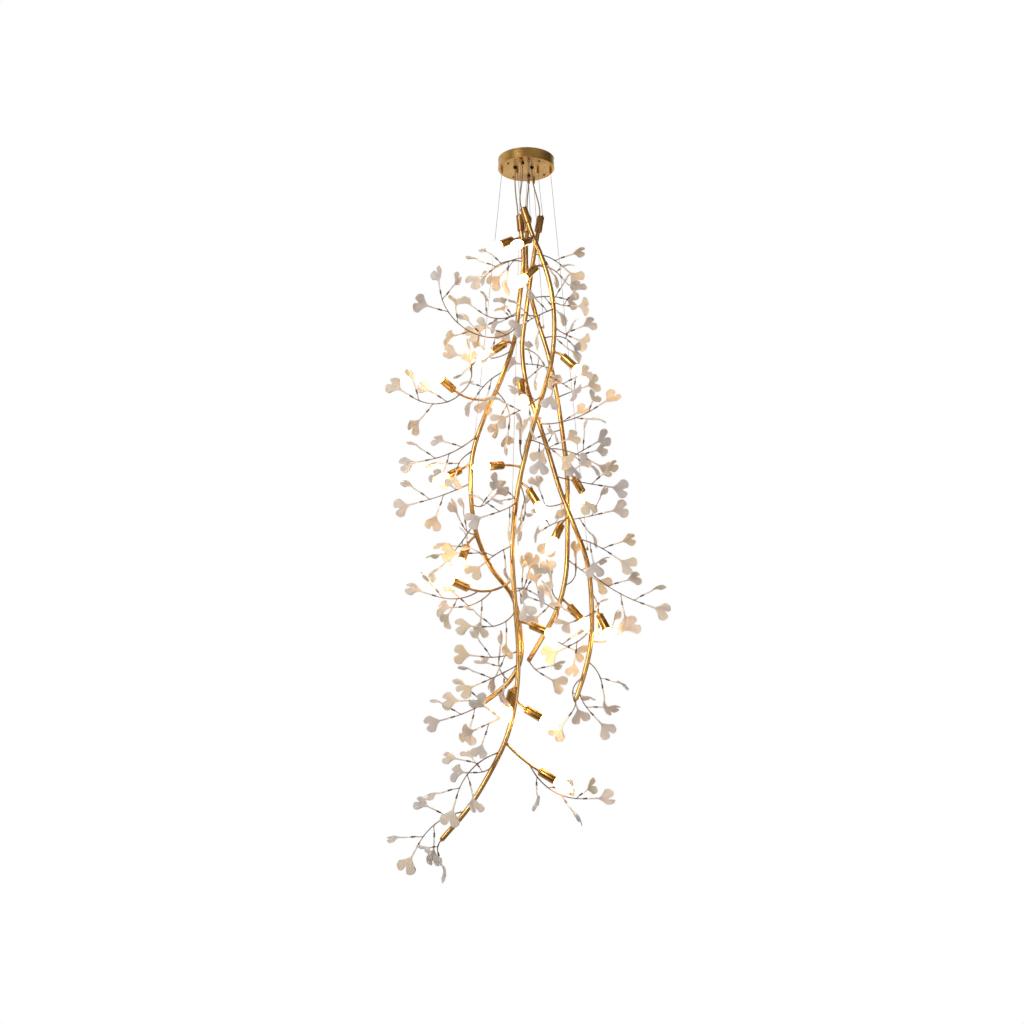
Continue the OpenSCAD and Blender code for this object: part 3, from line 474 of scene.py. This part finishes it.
def lamp_arm(side, number):
    """Root on the stem, start, leaving direction, end and aim of a lamp arm. The knuckle's line
    and the lamp's line meet where both are equally far from the arc's ends."""
    place, end, aim = lamp_plan[side][number]
    root = on_stem(side, place)[0]
    end, aim = np.array(end) * mm, unit(aim)
    v, q = end - root, stem_r + arm_knuckle
    leave = unit(v - (v @ v - q * q) / (2 * (q + v @ aim)) * aim)
    return root, root + q * leave, leave, end, aim


def twig_start(side, twig):
    """Root, start and leaving direction of a twig, on the circle through its root, its middle
    point and its tip."""
    seat, middle, tip = twig[0], np.array(twig[1]) * mm, np.array(twig[2]) * mm
    reach = stem_r + twig_knuckle
    if isinstance(seat, list):
        start, leave, end = lamp_arm(side, seat[0])[1:4]
        points, ways, _ = arc(start, leave, end, seat[1])
        root, carrier, reach = points[0], ways[0], arm_r + twig_knuckle
    else:
        root, carrier = on_stem(side, seat)
    half = unit(unit(middle - root) + unit(tip - root))
    chord = unit(tip - middle)
    leave = 2 * (chord @ half) * half - chord
    if seat == len(stem_points[side]) - 1:
        reach = twig_knuckle
    else:
        reach = reach / max(knuckle_slant, np.linalg.norm(np.cross(leave, carrier)))
    return root, root + reach * leave, leave


def sleeve(a, b, r):
    """Short turned sleeve from a to b: a wider foot, then the radius r, narrowing at its mouth.
    A hair between its rings keeps the last two, which are in one place, apart."""
    shares = np.array([0, 0.55, 0.62, 0.9, 0.97, 1.0, 1.0])[:, None]
    widths = np.array([1.12, 1.12, 1.0, 1.0, 0.95, 0.85, 0.3])
    hair = 1e-7 * np.arange(len(widths))[:, None]
    return tube(a + shares * (b - a) + hair * unit(b - a), r * widths, 20, round_hint)


def brushed(name, colour, dark, roughness, along):
    """Lacquered brass, brushed along the grain: fine streaks change its colour, its roughness
    and its surface a little, and slow clouds darken it."""
    material, tree, shader = finish(name, colour, roughness, 1.0)
    stretched = add_node(tree, "Mapping", Vector=grain_of(tree), Scale=(brush_across, brush_across, along))
    streaks = noise(tree, stretched.outputs[0], 1.0)
    clouds = calculate(tree, "MULTIPLY", object_noise(tree, 9.0), 0.55)
    tone = calculate(tree, "MULTIPLY_ADD", streaks, 0.45, clouds)
    paint(tree, shader, tone, (0.36, dark), (0.56, colour))
    roughen(tree, shader, streaks, roughness - brush_spread, roughness + brush_spread)
    bump(tree, shader, streaks, brush_depth)
    shader.inputs["Coat Weight"].default_value = 0.25
    shader.inputs["Coat Roughness"].default_value = 0.25
    return material


satin_brass = brushed("satin_brass", (0.70, 0.41, 0.14), (0.36, 0.175, 0.04), roughness=0.27, along=40)
for side in sides:
    points = np.array(stem_points[side]) * mm
    last = len(points) - 1
    path = smooth_path(points, np.linspace(0, last, rings_in_span * last + 1))
    tip_way = unit(path[-1] - path[-2])
    path = np.vstack([path, path[-1] + 1.5 * mm * tip_way, path[-1] + 2 * mm * tip_way])
    width = np.r_[np.full(len(path) - 2, stem_r), 0.9 * stem_r, 0.7 * stem_r]
    grids = [tube(path, width, count=28)]
    for number in range(len(lamp_plan[side])):
        root, start = lamp_arm(side, number)[:2]
        grids.append(sleeve(root, start, arm_r + knuckle_wall))
    for twig in twig_plan[side]:
        root, start, leave = twig_start(side, twig)
        if twig[0] == last:
            grids.append(sleeve(root - 2 * mm * leave, start, 0.55 * stem_r))
        elif not isinstance(twig[0], list):
            grids.append(sleeve(root, start, twig_r + knuckle_wall))
    depth, _, long_x, lug_place, lug_way = wire_plan[side]
    lug = on_stem(side, lug_place)[0] + (stem_r + lug_stand) * unit(lug_way)
    pull = unit(np.array([long_x, depth, grip_mouth]) * mm - lug)
    lug_path = lug + np.array([-14, 1.5])[:, None] * mm * unit(lug_way)
    grids.append(tube(lug_path, lug_r, 16, round_hint))
    eye_path = lug + np.array([-4, -3.6, 5, 7.4, 8])[:, None] * mm * pull
    grids.append(tube(eye_path, np.array([2.4, 3, 3, 2.2, 1.4]) * mm, 18, round_hint))
    stem = add_piece(side + "_brass_stem", grids, satin_brass, side + "_branch")
    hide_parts(side + "_stem")

# Top caps: turned brass caps of 27 mm, darkened, that slip over the stems' upper ends. Each
# carries a nipple for its short wire, and the cord goes in beside it.
wire_offset = 7 * mm
cap_outline = np.array([[-20, 8.3], [-20, 13.2], [-19.4, 13.5], [34.5, 13.5], [36.6, 13.1], [37.6, 12.0],
                        [38, 10.5], [38, 0.4]]) * mm
nipple_outline = np.array([[-2, 3], [3, 3], [3.4, 2.4], [6.6, 2.4], [8, 1.1]]) * mm


def turned(foot, axis, outline, count, hint=(0, 0, 1)):
    """Solid of revolution: an outline of (height, radius) points carried round an axis from its
    foot. Its grain runs along the axis."""
    across, up = crosswise(axis, hint)
    turn = np.linspace(0, 2 * np.pi, count, endpoint=False)
    height, radius = outline[:, :1], outline[:, 1:]
    x, y = radius * np.cos(turn), radius * np.sin(turn)
    points = foot + x[..., None] * across + y[..., None] * up + height[..., None] * axis
    return points, np.stack([x, y, np.broadcast_to(height, x.shape)], -1)


def ring_edges(outline, soft=0.25 * mm):
    """The outline with two points close beside each corner, so that its edges stay crisp."""
    steps = np.diff(outline, axis=0)
    length = np.linalg.norm(steps, axis=1, keepdims=True)
    inset = np.minimum(soft, 0.3 * length) * steps / length
    between = np.stack([outline[:-1] + inset, outline[1:] - inset], 1).reshape(-1, 2)
    return np.vstack([outline[:1], between, outline[-1:]])


cap_brass = brushed("cap_brass", (0.52, 0.27, 0.08), (0.22, 0.09, 0.02), roughness=0.34, along=55)
for side in sides:
    foot, axis = cap_frame(side)[:2]
    short_anchor = np.array([wire_plan[side][1], wire_plan[side][0], grip_mouth]) * mm
    nipple = cap_top(side, wire_offset)
    pull = unit(short_anchor - nipple)
    grids = [turned(foot, axis, ring_edges(cap_outline), count=40),
             turned(nipple, pull, ring_edges(nipple_outline), count=16)]
    cap = add_piece(side + "_turned_top_cap", grids, cap_brass, side + "_branch")
    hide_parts(side + "_top_cap")


# Lamp arms: bent brass tubes of 8 mm, brazed into the stems' sleeves. A small sleeve on three
# of them takes a twig each, or two.
arm_rings = 32
arm_sleeve_wall = 0.6 * mm
for side in sides:
    grids = []
    for number in range(len(lamp_plan[side])):
        start, leave, end = lamp_arm(side, number)[1:4]
        path = arc(start, leave, end, np.linspace(0, 1, arm_rings))[0]
        grids.append(tube(path, arm_r, 20, unit(np.cross(leave, end - start))))
    for twig in twig_plan[side]:
        if isinstance(twig[0], list):
            root, start = twig_start(side, twig)[:2]
            grids.append(sleeve(root, start, twig_r + arm_sleeve_wall))
    arms = add_piece(side + "_bent_lamp_arms", grids, satin_brass, side + "_branch")
    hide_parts(side + "_lamp_arms")


# Twigs: thin brass rods that taper to their tips, with a leaf stalk brazed on at each joint,
# left and right by turns. They are browned and only lightly brushed.
stalk_r = 1.4 * mm
stalk_l = 26 * mm
stalk_gap = 50 * mm
tip_gap = 25 * mm
root_gap = 20 * mm
stalk_angle = math.radians(50)
stalk_into_twig = 2 * mm
stalk_along_twig = 7 * mm
stalk_along_leaf = 9 * mm
joint_l = 4 * mm
joint_swell = 0.55 * mm
twig_rings = 40
small_leaf = 0.86
leaf_rolls = (12, 62, -40, 24, -70)
off_line = 0.01


def frond_side(way, turn):
    """Sideways direction of a twig's leaves where it runs that way, turned about it."""
    flat = unit(np.cross(way, [0, 1, 0] if abs(way[2]) > 0.95 else [0, 0, 1]))
    return math.cos(turn) * flat + math.sin(turn) * np.cross(flat, way)


def face_normal(way, aside, roll):
    """Normal of a leaf that points that way, rolled out of the plane of the way and aside. The
    way and aside are kept off one line."""
    normal = unit(np.cross(way, unit(aside + off_line)))
    roll = math.radians(roll)
    return math.cos(roll) * normal + math.sin(roll) * np.cross(way, normal)


def leaf_seats(side, twig):
    """Seats of a twig's leaves as (point, direction, face normal, size, foot, twig's way at the
    foot): one at its tip, and then one every stalk_gap back along it, left and right by turns."""
    _, start, leave = twig_start(side, twig)
    tip, turn = np.array(twig[2]) * mm, math.radians(twig[3])
    _, ways, length = arc(start, leave, tip, 1.0)
    normal = face_normal(ways[0], frond_side(ways[0], turn), leaf_rolls[0])
    seats = [(tip, ways[0], normal, 1, tip, ways[0])]
    for j in range(max(0, 1 + math.floor((length - tip_gap - root_gap) / stalk_gap))):
        points, ways, _ = arc(start, leave, tip, 1 - (tip_gap + stalk_gap * j) / length)
        aside = frond_side(ways[0], turn) * (1, -1)[j % 2]
        grow = unit(math.cos(stalk_angle) * ways[0] + math.sin(stalk_angle) * aside)
        normal = face_normal(grow, aside, leaf_rolls[(j + 1) % len(leaf_rolls)])
        seats.append((points[0] + stalk_l * grow, grow, normal, (small_leaf, 1)[j % 2], points[0], ways[0]))
    return seats


def stalk(seat):
    """Leaf stalk that leaves its twig at a slant and bends into the leaf's direction: a cubic
    with its ends' directions along the twig and along the leaf, tapering to the ferrule."""
    end, grow, _, _, foot, way = seat
    f = np.linspace(0, 1, 10)[:, None]
    a = foot - stalk_into_twig * way
    b, c = foot + stalk_along_twig * way, end - stalk_along_leaf * grow
    path = (1 - f)**3 * a + 3 * f * (1 - f)**2 * b + 3 * f**2 * (1 - f) * c + f**3 * end
    return tube(path, stalk_r * (1.12 - 0.2 * f[:, 0]), 8, seat[2])


twig_brass = brushed("twig_brass", (0.32, 0.18, 0.06), (0.10, 0.05, 0.014), roughness=0.36, along=90)
seats = {side: [leaf_seats(side, twig) for twig in twig_plan[side]] for side in sides}
for side in sides:
    grids = []
    for twig, twig_seats in zip(twig_plan[side], seats[side]):
        _, start, leave = twig_start(side, twig)
        share = np.linspace(0, 1, twig_rings)
        path, _, length = arc(start, leave, np.array(twig[2]) * mm, share)
        joints = 1 - (tip_gap + stalk_gap * np.arange(len(twig_seats) - 1)) / length
        swell = joint_swell * np.exp(-((share[:, None] - joints) * length / joint_l)**2).sum(1)
        grids.append(tube(path, twig_r * (1.15 - 0.3 * share) + swell, 10, twig_seats[0][2]))
        grids += [stalk(seat) for seat in twig_seats[1:]]
    twigs = add_piece(side + "_tapered_twigs", grids, twig_brass, side + "_branch")
    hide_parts(side + "_twigs")


# Ferrules: small turned sockets of dark bronze with a bead at each end. A leaf's petiole is
# cemented into each.
ferrule_l = 14 * mm
ferrule_outline = np.array([[0, 1.6], [0.4, 2.8], [2.4, 3.2], [3.2, 2.6], [10.4, 2.8], [11.2, 3.2],
                            [13.6, 3.1], [14, 2.2]]) * mm
dark_bronze = brushed("dark_bronze", (0.16, 0.10, 0.06), (0.05, 0.03, 0.02), roughness=0.36, along=200)
for side in sides:
    grids = [turned(seat[0], seat[1], ferrule_outline, count=10) for row in seats[side] for seat in row]
    ferrules = add_piece(side + "_turned_ferrules", grids, dark_bronze, side + "_branch")
    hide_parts(side + "_ferrules")


# Leaves: slip-cast porcelain, unglazed and a little translucent. A slim petiole opens into a
# cupped fan with two lobes, a notch between them and pleats that spread from its neck.
petiole_l = 34 * mm
leaf_half = 40 * mm
blade_l = 56 * mm
lobe_r = 28.8 * mm
cupping = 70 * mm
fan_angle = math.radians(47)
notch_width = 5.0
corner_round = 0.2
petiole_r = 2.2 * mm
petiole_flare = 0.7 * mm
petiole_bow = 0.9 * mm
neck_half = 2.9 * mm
vein_spread = 0.22
vein_rise = 0.5
leaf_half_t = 1.5 * mm
pleats = 9
pleat_h = 0.6 * mm
ripple_h = 1.5 * mm
# Least and most of each leaf's notch, curl, start of its ripple, lean of its notch, and bend
varied_least = (0.28, 0.8, 0, -3, -1)
varied_most = (0.38, 1.15, 6.3, 3, 1)


def margin(u, notch, lean):
    """Edge of the fan at shares u from its left corner (-1) to its right (1), in the blade's own
    plane: a circle for each lobe seen from the neck, less a bell-shaped notch between them
    and a little rounding at the corners."""
    angle = u * fan_angle
    centre = np.stack([np.where(u < 0, -1, 1) * (leaf_half - lobe_r), np.full(len(u), blade_l - lobe_r)])
    way = np.stack([np.sin(angle), np.cos(angle)])
    towards = (centre * way).sum(0)
    reach = towards + np.sqrt(lobe_r**2 - (centre**2).sum(0) + towards**2)
    reach *= 1 - notch * np.exp(-((np.degrees(angle) - lean) / notch_width)**2)
    return reach * (1 - corner_round * np.abs(u)**6) * way


def leaf(seat, chance):
    """One leaf in its seat. Rings run up the petiole and on to the margin; each point of the fan
    is on a vein, which is a curve of the second degree from the neck to the margin. The face is
    pushed out to a sphere and pleated, and the porcelain thins from ring to ring."""
    foot, grow, normal, size = seat[:4]
    deep, curl, wave, lean, bend = chance.uniform(varied_least, varied_most)
    half = 2 * pleats
    u = np.concatenate([np.linspace(-1, 1, half + 1), np.linspace(1, -1, half + 1)[1:-1]])
    turn = np.pi * np.arange(2 * half) / half
    v = np.array([0, 0, 0, 0, 0.04, 0.13, 0.25, 0.39, 0.54, 0.69, 0.83, 0.93, 0.985, 1.0])[:, None]
    lift = np.array([0, 0.3, 0.6, 0.88, 1, 1, 1, 1, 1, 1, 1, 1, 1, 1])[:, None] * petiole_l
    edge = margin(u, deep, lean)
    opened = np.clip(v / 0.25, 0, 1)
    opening = opened**2 * (3 - 2 * opened)
    petiole_w = petiole_r + petiole_flare * lift / petiole_l
    x = (1 - v)**2 * neck_half * u + 2 * v * (1 - v) * vein_spread * edge[0] + v**2 * edge[0]
    z = 2 * v * (1 - v) * vein_rise * edge[1] + v**2 * edge[1]
    middle = 0.45 * blade_l
    cup = math.sqrt(cupping**2 - middle**2) - np.sqrt(cupping**2 - x**2 - (z - middle)**2)
    thick = np.array([1, 1, 1, 1, 1, 0.95, 0.9, 0.86, 0.82, 0.78, 0.74, 0.7, 0.55, 0.25])[:, None]
    pleat = pleat_h * np.cos(np.pi * half * (u + 1) / 2) * v**0.7 * (1 - 0.4 * v) * (1 - u**4)
    ripple = ripple_h * v**3 * np.sin(2.6 * np.pi * u + wave)
    face = np.where(np.arange(2 * half) <= half, -1, 1)
    y = curl * cup + pleat + ripple + face * leaf_half_t * thick * np.sqrt(np.clip(1 - u**6, 0, 1))
    x = (1 - opening) * -petiole_w * np.cos(turn) + opening * x
    y = (1 - opening) * (-petiole_w * np.sin(turn) + cup * (v > 0)) + opening * y
    y = y + bend * petiole_bow * np.sin(np.pi * lift / petiole_l)
    across, up = crosswise(grow, normal)
    local = size * np.stack([x, y, z + lift], -1)
    points = foot + ferrule_l * grow + local @ np.array([across, up, grow])
    # Each leaf draws at random its share between painted shade and painted lamp glow in its colour
    shade_or_glow_share = np.full(x.shape, chance.random())
    return points, np.stack([np.broadcast_to(u, x.shape), np.broadcast_to(v, x.shape), shade_or_glow_share], -1)


def add_leaves(name, grids, material, body):
    """One mesh of all a branch's leaves. A leaf's last ring is closed by a seam between its two
    faces, and its first by a cap."""
    rows, columns = grids[0][0].shape[:2]
    number = np.arange(rows * columns).reshape(rows, columns)
    beside = np.roll(number, -1, 1)
    walls = np.stack([number[:-1], beside[:-1], beside[1:], number[1:]], -1).reshape(-1, 4)
    k = np.arange(columns // 2)
    last = number[-1]
    seam = np.stack([last[k], last[k + 1], last[-k - 1], last[-k % columns]], -1)
    quads = np.vstack([walls, seam[1:-1]]).tolist()
    ends = [last[[0, 1, -1]].tolist(), last[[columns // 2 - 1, columns // 2, columns // 2 + 1]].tolist()]
    faces = quads + ends + [number[0, ::-1].tolist()]
    count = rows * columns
    mesh = bpy.data.meshes.new(name)
    points = np.vstack([points.reshape(-1, 3) for points, _ in grids])
    every = [[corner + n * count for corner in face] for n in range(len(grids)) for face in faces]
    mesh.from_pydata(points, [], every)
    grain = np.vstack([grain.reshape(-1, 3) for _, grain in grids])
    mesh.attributes.new("grain", "FLOAT_VECTOR", "POINT").data.foreach_set("vector", grain.ravel())
    mesh.shade_smooth()
    mesh.materials.append(material)
    piece = bpy.data.objects.new(name, mesh)
    bpy.context.collection.objects.link(piece)
    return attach(piece, body)


vein_pitch = 95.0
vein_depth = 0.0003
# Leaf colours: a greyish lilac that is painted shade, the pale porcelain itself, and a peach that is painted
# glow of the lamps. Each leaf takes a random share between them, with clouds and veins added
painted_shade_lilac, pale, warm = (0.58, 0.52, 0.51), (0.74, 0.66, 0.58), (0.84, 0.65, 0.45)
porcelain, tree, shader = finish("porcelain", (0.78, 0.68, 0.60), 0.45)
across_leaf = add_node(tree, "SeparateXYZ", Vector=grain_of(tree))
veins = calculate(tree, "SINE", calculate(tree, "MULTIPLY", across_leaf.outputs["X"], vein_pitch))
veins = calculate(tree, "MULTIPLY", veins, across_leaf.outputs["Y"])
clouds = calculate(tree, "MULTIPLY", object_noise(tree, 28.0, 2.0), 0.5)
tone = calculate(tree, "MULTIPLY_ADD", veins, 0.06, clouds)
tone = calculate(tree, "MULTIPLY_ADD", across_leaf.outputs["Z"], 0.5, tone)
paint(tree, shader, tone, (0.25, painted_shade_lilac), (0.5, pale), (0.75, warm))
relief = calculate(tree, "MULTIPLY_ADD", object_noise(tree, 420.0), 0.25, veins)
bump(tree, shader, relief, vein_depth)
shader.inputs["Subsurface Weight"].default_value = 0.25
shader.inputs["Subsurface Radius"].default_value = (1.0, 0.75, 0.5)
shader.inputs["Subsurface Scale"].default_value = 0.006
shader.inputs["Coat Weight"].default_value = 0.12
shader.inputs["Coat Roughness"].default_value = 0.3
chance = np.random.default_rng(8)
for side in sides:
    grids = [leaf(seat, chance) for twig_seats in seats[side] for seat in twig_seats]
    leaves = add_leaves(side + "_porcelain_leaves", grids, porcelain, side + "_branch")
    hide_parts(side + "_leaves")


# Lamp cups: straight cups of brushed brass tube, 28 by 60 mm, with a collar nut where the arm
# enters, a rolled rim and a turned line near the foot.
cup_outline = np.array([[-0.5, 4.0], [-0.5, 6.4], [0, 12.0], [1.0, 13.4], [2.2, 14], [5.6, 14],
                        [6.0, 13.7], [6.6, 13.7], [7.0, 14], [59.0, 14], [60, 13.7], [60, 13.1],
                        [59.3, 12.8], [3.0, 12.8], [2.2, 12.0], [2.0, 0.4]]) * mm
nut_outline = np.array([[-5.5, 4.05], [-5.5, 5.6], [-4.6, 6.4], [-1.0, 6.4], [0.5, 5.8], [0.5, 4.05]]) * mm
cup_brass = brushed("cup_brass", (0.72, 0.40, 0.10), (0.36, 0.16, 0.03), roughness=0.27, along=60)
for side in sides:
    grids = []
    for number in range(len(lamp_plan[side])):
        end, aim = lamp_arm(side, number)[3:]
        grids.append(turned(end, aim, ring_edges(cup_outline, 0.12 * mm), count=36))
        grids.append(turned(end, aim, nut_outline, count=24))
    cups = add_piece(side + "_rolled_lamp_cups", grids, cup_brass, side + "_branch")
    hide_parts(side + "_lamp_cups")


# Candle lamps: clear glass with a drawn tip, 35 mm wide, lit. Four filaments stand on a glass
# foot inside and glow warm white.
glass_l = 74 * mm
glass_bulge = 0.43 * glass_l
glass_half = 17.5 * mm
glass_wall = 0.8 * mm
glass_tip_r = 0.05 * mm
cup_l = 60 * mm
mouth = 12.8 * mm
mouth_gap = 0.6 * mm
glass_rise = glass_l - glass_bulge
glass_arc = (glass_rise**2 + glass_half**2) / (2 * glass_half)
mouth_depth = math.sqrt(glass_arc**2 - (glass_arc - glass_half + mouth - mouth_gap)**2)
glass_foot = cup_l - glass_bulge + mouth_depth


def candle_outline(inset, steps):
    """Heights and radii of the candle glass from its neck to its tip: one circle's arc over the
    bulge, drawn in by the inset."""
    top = glass_bulge + math.sqrt((glass_arc - inset)**2 - (glass_arc - glass_half)**2)
    height = inset + (top - inset) * np.sin(np.linspace(0, np.pi / 2, steps))
    radius = glass_half - glass_arc + np.sqrt((glass_arc - inset)**2 - (height - glass_bulge)**2)
    radius[-1] = glass_tip_r
    return np.stack([height, radius], -1)


candle_glass, tree, shader = finish("candle_glass", (1.0, 0.97, 0.90), 0.04)
shader.inputs["Transmission Weight"].default_value = 0.9
shader.inputs["IOR"].default_value = 1.45
height = add_node(tree, "SeparateXYZ", Vector=grain_of(tree))
rise = calculate(tree, "MULTIPLY", height.outputs["Z"], 1 / glass_l)
glow = colour_ramp(tree, rise, (0.0, (0.9, 0.40, 0.10)), (0.35, (1.0, 0.68, 0.28)),
                   (0.7, (1.0, 0.70, 0.30)), (1.0, (1.0, 0.52, 0.16)))
tree.links.new(glow, shader.inputs["Emission Color"])
shader.inputs["Emission Strength"].default_value = 5.5
for side in sides:
    grids = []
    for number in range(len(lamp_plan[side])):
        end, aim = lamp_arm(side, number)[3:]
        seat = end + glass_foot * aim
        grids.append(turned(seat, aim, candle_outline(0, 26), count=32))
        grids.append(turned(seat, aim, candle_outline(glass_wall, 18)[::-1], count=32))
    glass = add_piece(side + "_candle_glass", grids, candle_glass, side + "_branch")
    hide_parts(side + "_lamp_glass")


def repaint(material, *names):
    """These pieces keep their exact turned or cut shape and take this finish."""
    for name in names:
        nodes[name].data.materials.clear()
        nodes[name].data.materials.append(material)


filament, _, shader = finish("filament", (1.0, 0.8, 0.5), 0.5)
shader.inputs["Emission Color"].default_value = (1.0, 0.72, 0.34, 1)
shader.inputs["Emission Strength"].default_value = 9.0
repaint(filament, *(side + "_filaments" for side in sides))


# Lampholders and screw caps: the holders are sleeves moulded from black plastic that stand in
# the cups, and the lamps' screw caps in them are drawn from thin nickelled metal.
def plain(name, colour, roughness, metal, size, depth):
    """Finish with a fine even texture of the given size, for cast, moulded and drawn pieces."""
    material, tree, shader = finish(name, colour, roughness, metal)
    fine = object_noise(tree, 1 / size)
    paint(tree, shader, fine, (0.35, tuple(0.72 * c for c in colour)), (0.62, colour))
    roughen(tree, shader, fine, roughness - 0.08, roughness + 0.08)
    bump(tree, shader, fine, depth)
    return material


holder_plastic = plain("holder_plastic", (0.05, 0.045, 0.04), 0.5, metal=0.0, size=0.0012, depth=0.00005)
cap_metal = plain("cap_metal", (0.70, 0.68, 0.64), 0.3, metal=1.0, size=0.0015, depth=0.00003)
repaint(holder_plastic, *(side + "_lampholders" for side in sides))
repaint(cap_metal, *(side + "_lamp_caps" for side in sides))

# Wires: thin stainless ropes, laid from fine strands. Each runs taut from its grip in the
# canopy to a nipple on its branch.
wire_steel = plain("wire_steel", (0.34, 0.31, 0.28), 0.35, metal=1.0, size=0.0008, depth=0.00005)
repaint(wire_steel, *(side + "_wires" for side in sides))

# Canopy: a shallow drum of spun brass with a bead at each edge, its brushing running round it.
# It hides the steel plate, the posts and the terminal block, and four dark screws hold it.
spin_scale = 1400.0
spin_round = 1.5
spin_depth = 0.00004
spun_brass, tree, shader = finish("spun_brass", (0.72, 0.42, 0.13), 0.3, metal=1.0)
place = add_node(tree, "SeparateXYZ", Vector=add_node(tree, "TexCoord").outputs["Object"])
square = [calculate(tree, "POWER", place.outputs[way], 2.0) for way in "XY"]
radius = calculate(tree, "SQRT", calculate(tree, "ADD", *square))
radius = calculate(tree, "MULTIPLY", radius, spin_scale)
height = calculate(tree, "MULTIPLY", place.outputs["Z"], spin_scale)
turn = calculate(tree, "ARCTAN2", place.outputs["Y"], place.outputs["X"])
turn = calculate(tree, "MULTIPLY", turn, spin_round)
spin = noise(tree, add_node(tree, "CombineXYZ", X=radius, Y=height, Z=turn).outputs[0], 1.0)
clouds = calculate(tree, "MULTIPLY", object_noise(tree, 12.0), 0.5)
tone = calculate(tree, "MULTIPLY_ADD", spin, 0.5, clouds)
paint(tree, shader, tone, (0.38, (0.46, 0.23, 0.06)), (0.58, (0.74, 0.44, 0.14)))
roughen(tree, shader, spin, 0.2, 0.4)
bump(tree, shader, spin, spin_depth)
repaint(spun_brass, "canopy_cover")
grip_brass = plain("grip_brass", (0.66, 0.40, 0.14), 0.3, metal=1.0, size=0.0014, depth=0.00004)
repaint(grip_brass, "wire_grips")
dark_steel = plain("dark_steel", (0.06, 0.055, 0.05), 0.4, metal=1.0, size=0.001, depth=0.00004)
repaint(dark_steel, "canopy_screws", "cord_glands")
plate_steel = plain("plate_steel", (0.62, 0.63, 0.64), 0.35, metal=1.0, size=0.003, depth=0.00005)
repaint(plate_steel, "ceiling_plate")
post_aluminium = plain("post_aluminium", (0.72, 0.72, 0.73), 0.35, metal=1.0, size=0.001, depth=0.00004)
repaint(post_aluminium, "spacer_posts")
terminal_plastic = plain("terminal_plastic", (0.80, 0.77, 0.68), 0.45, metal=0.0, size=0.0012, depth=0.00005)
repaint(terminal_plastic, "terminal_block")
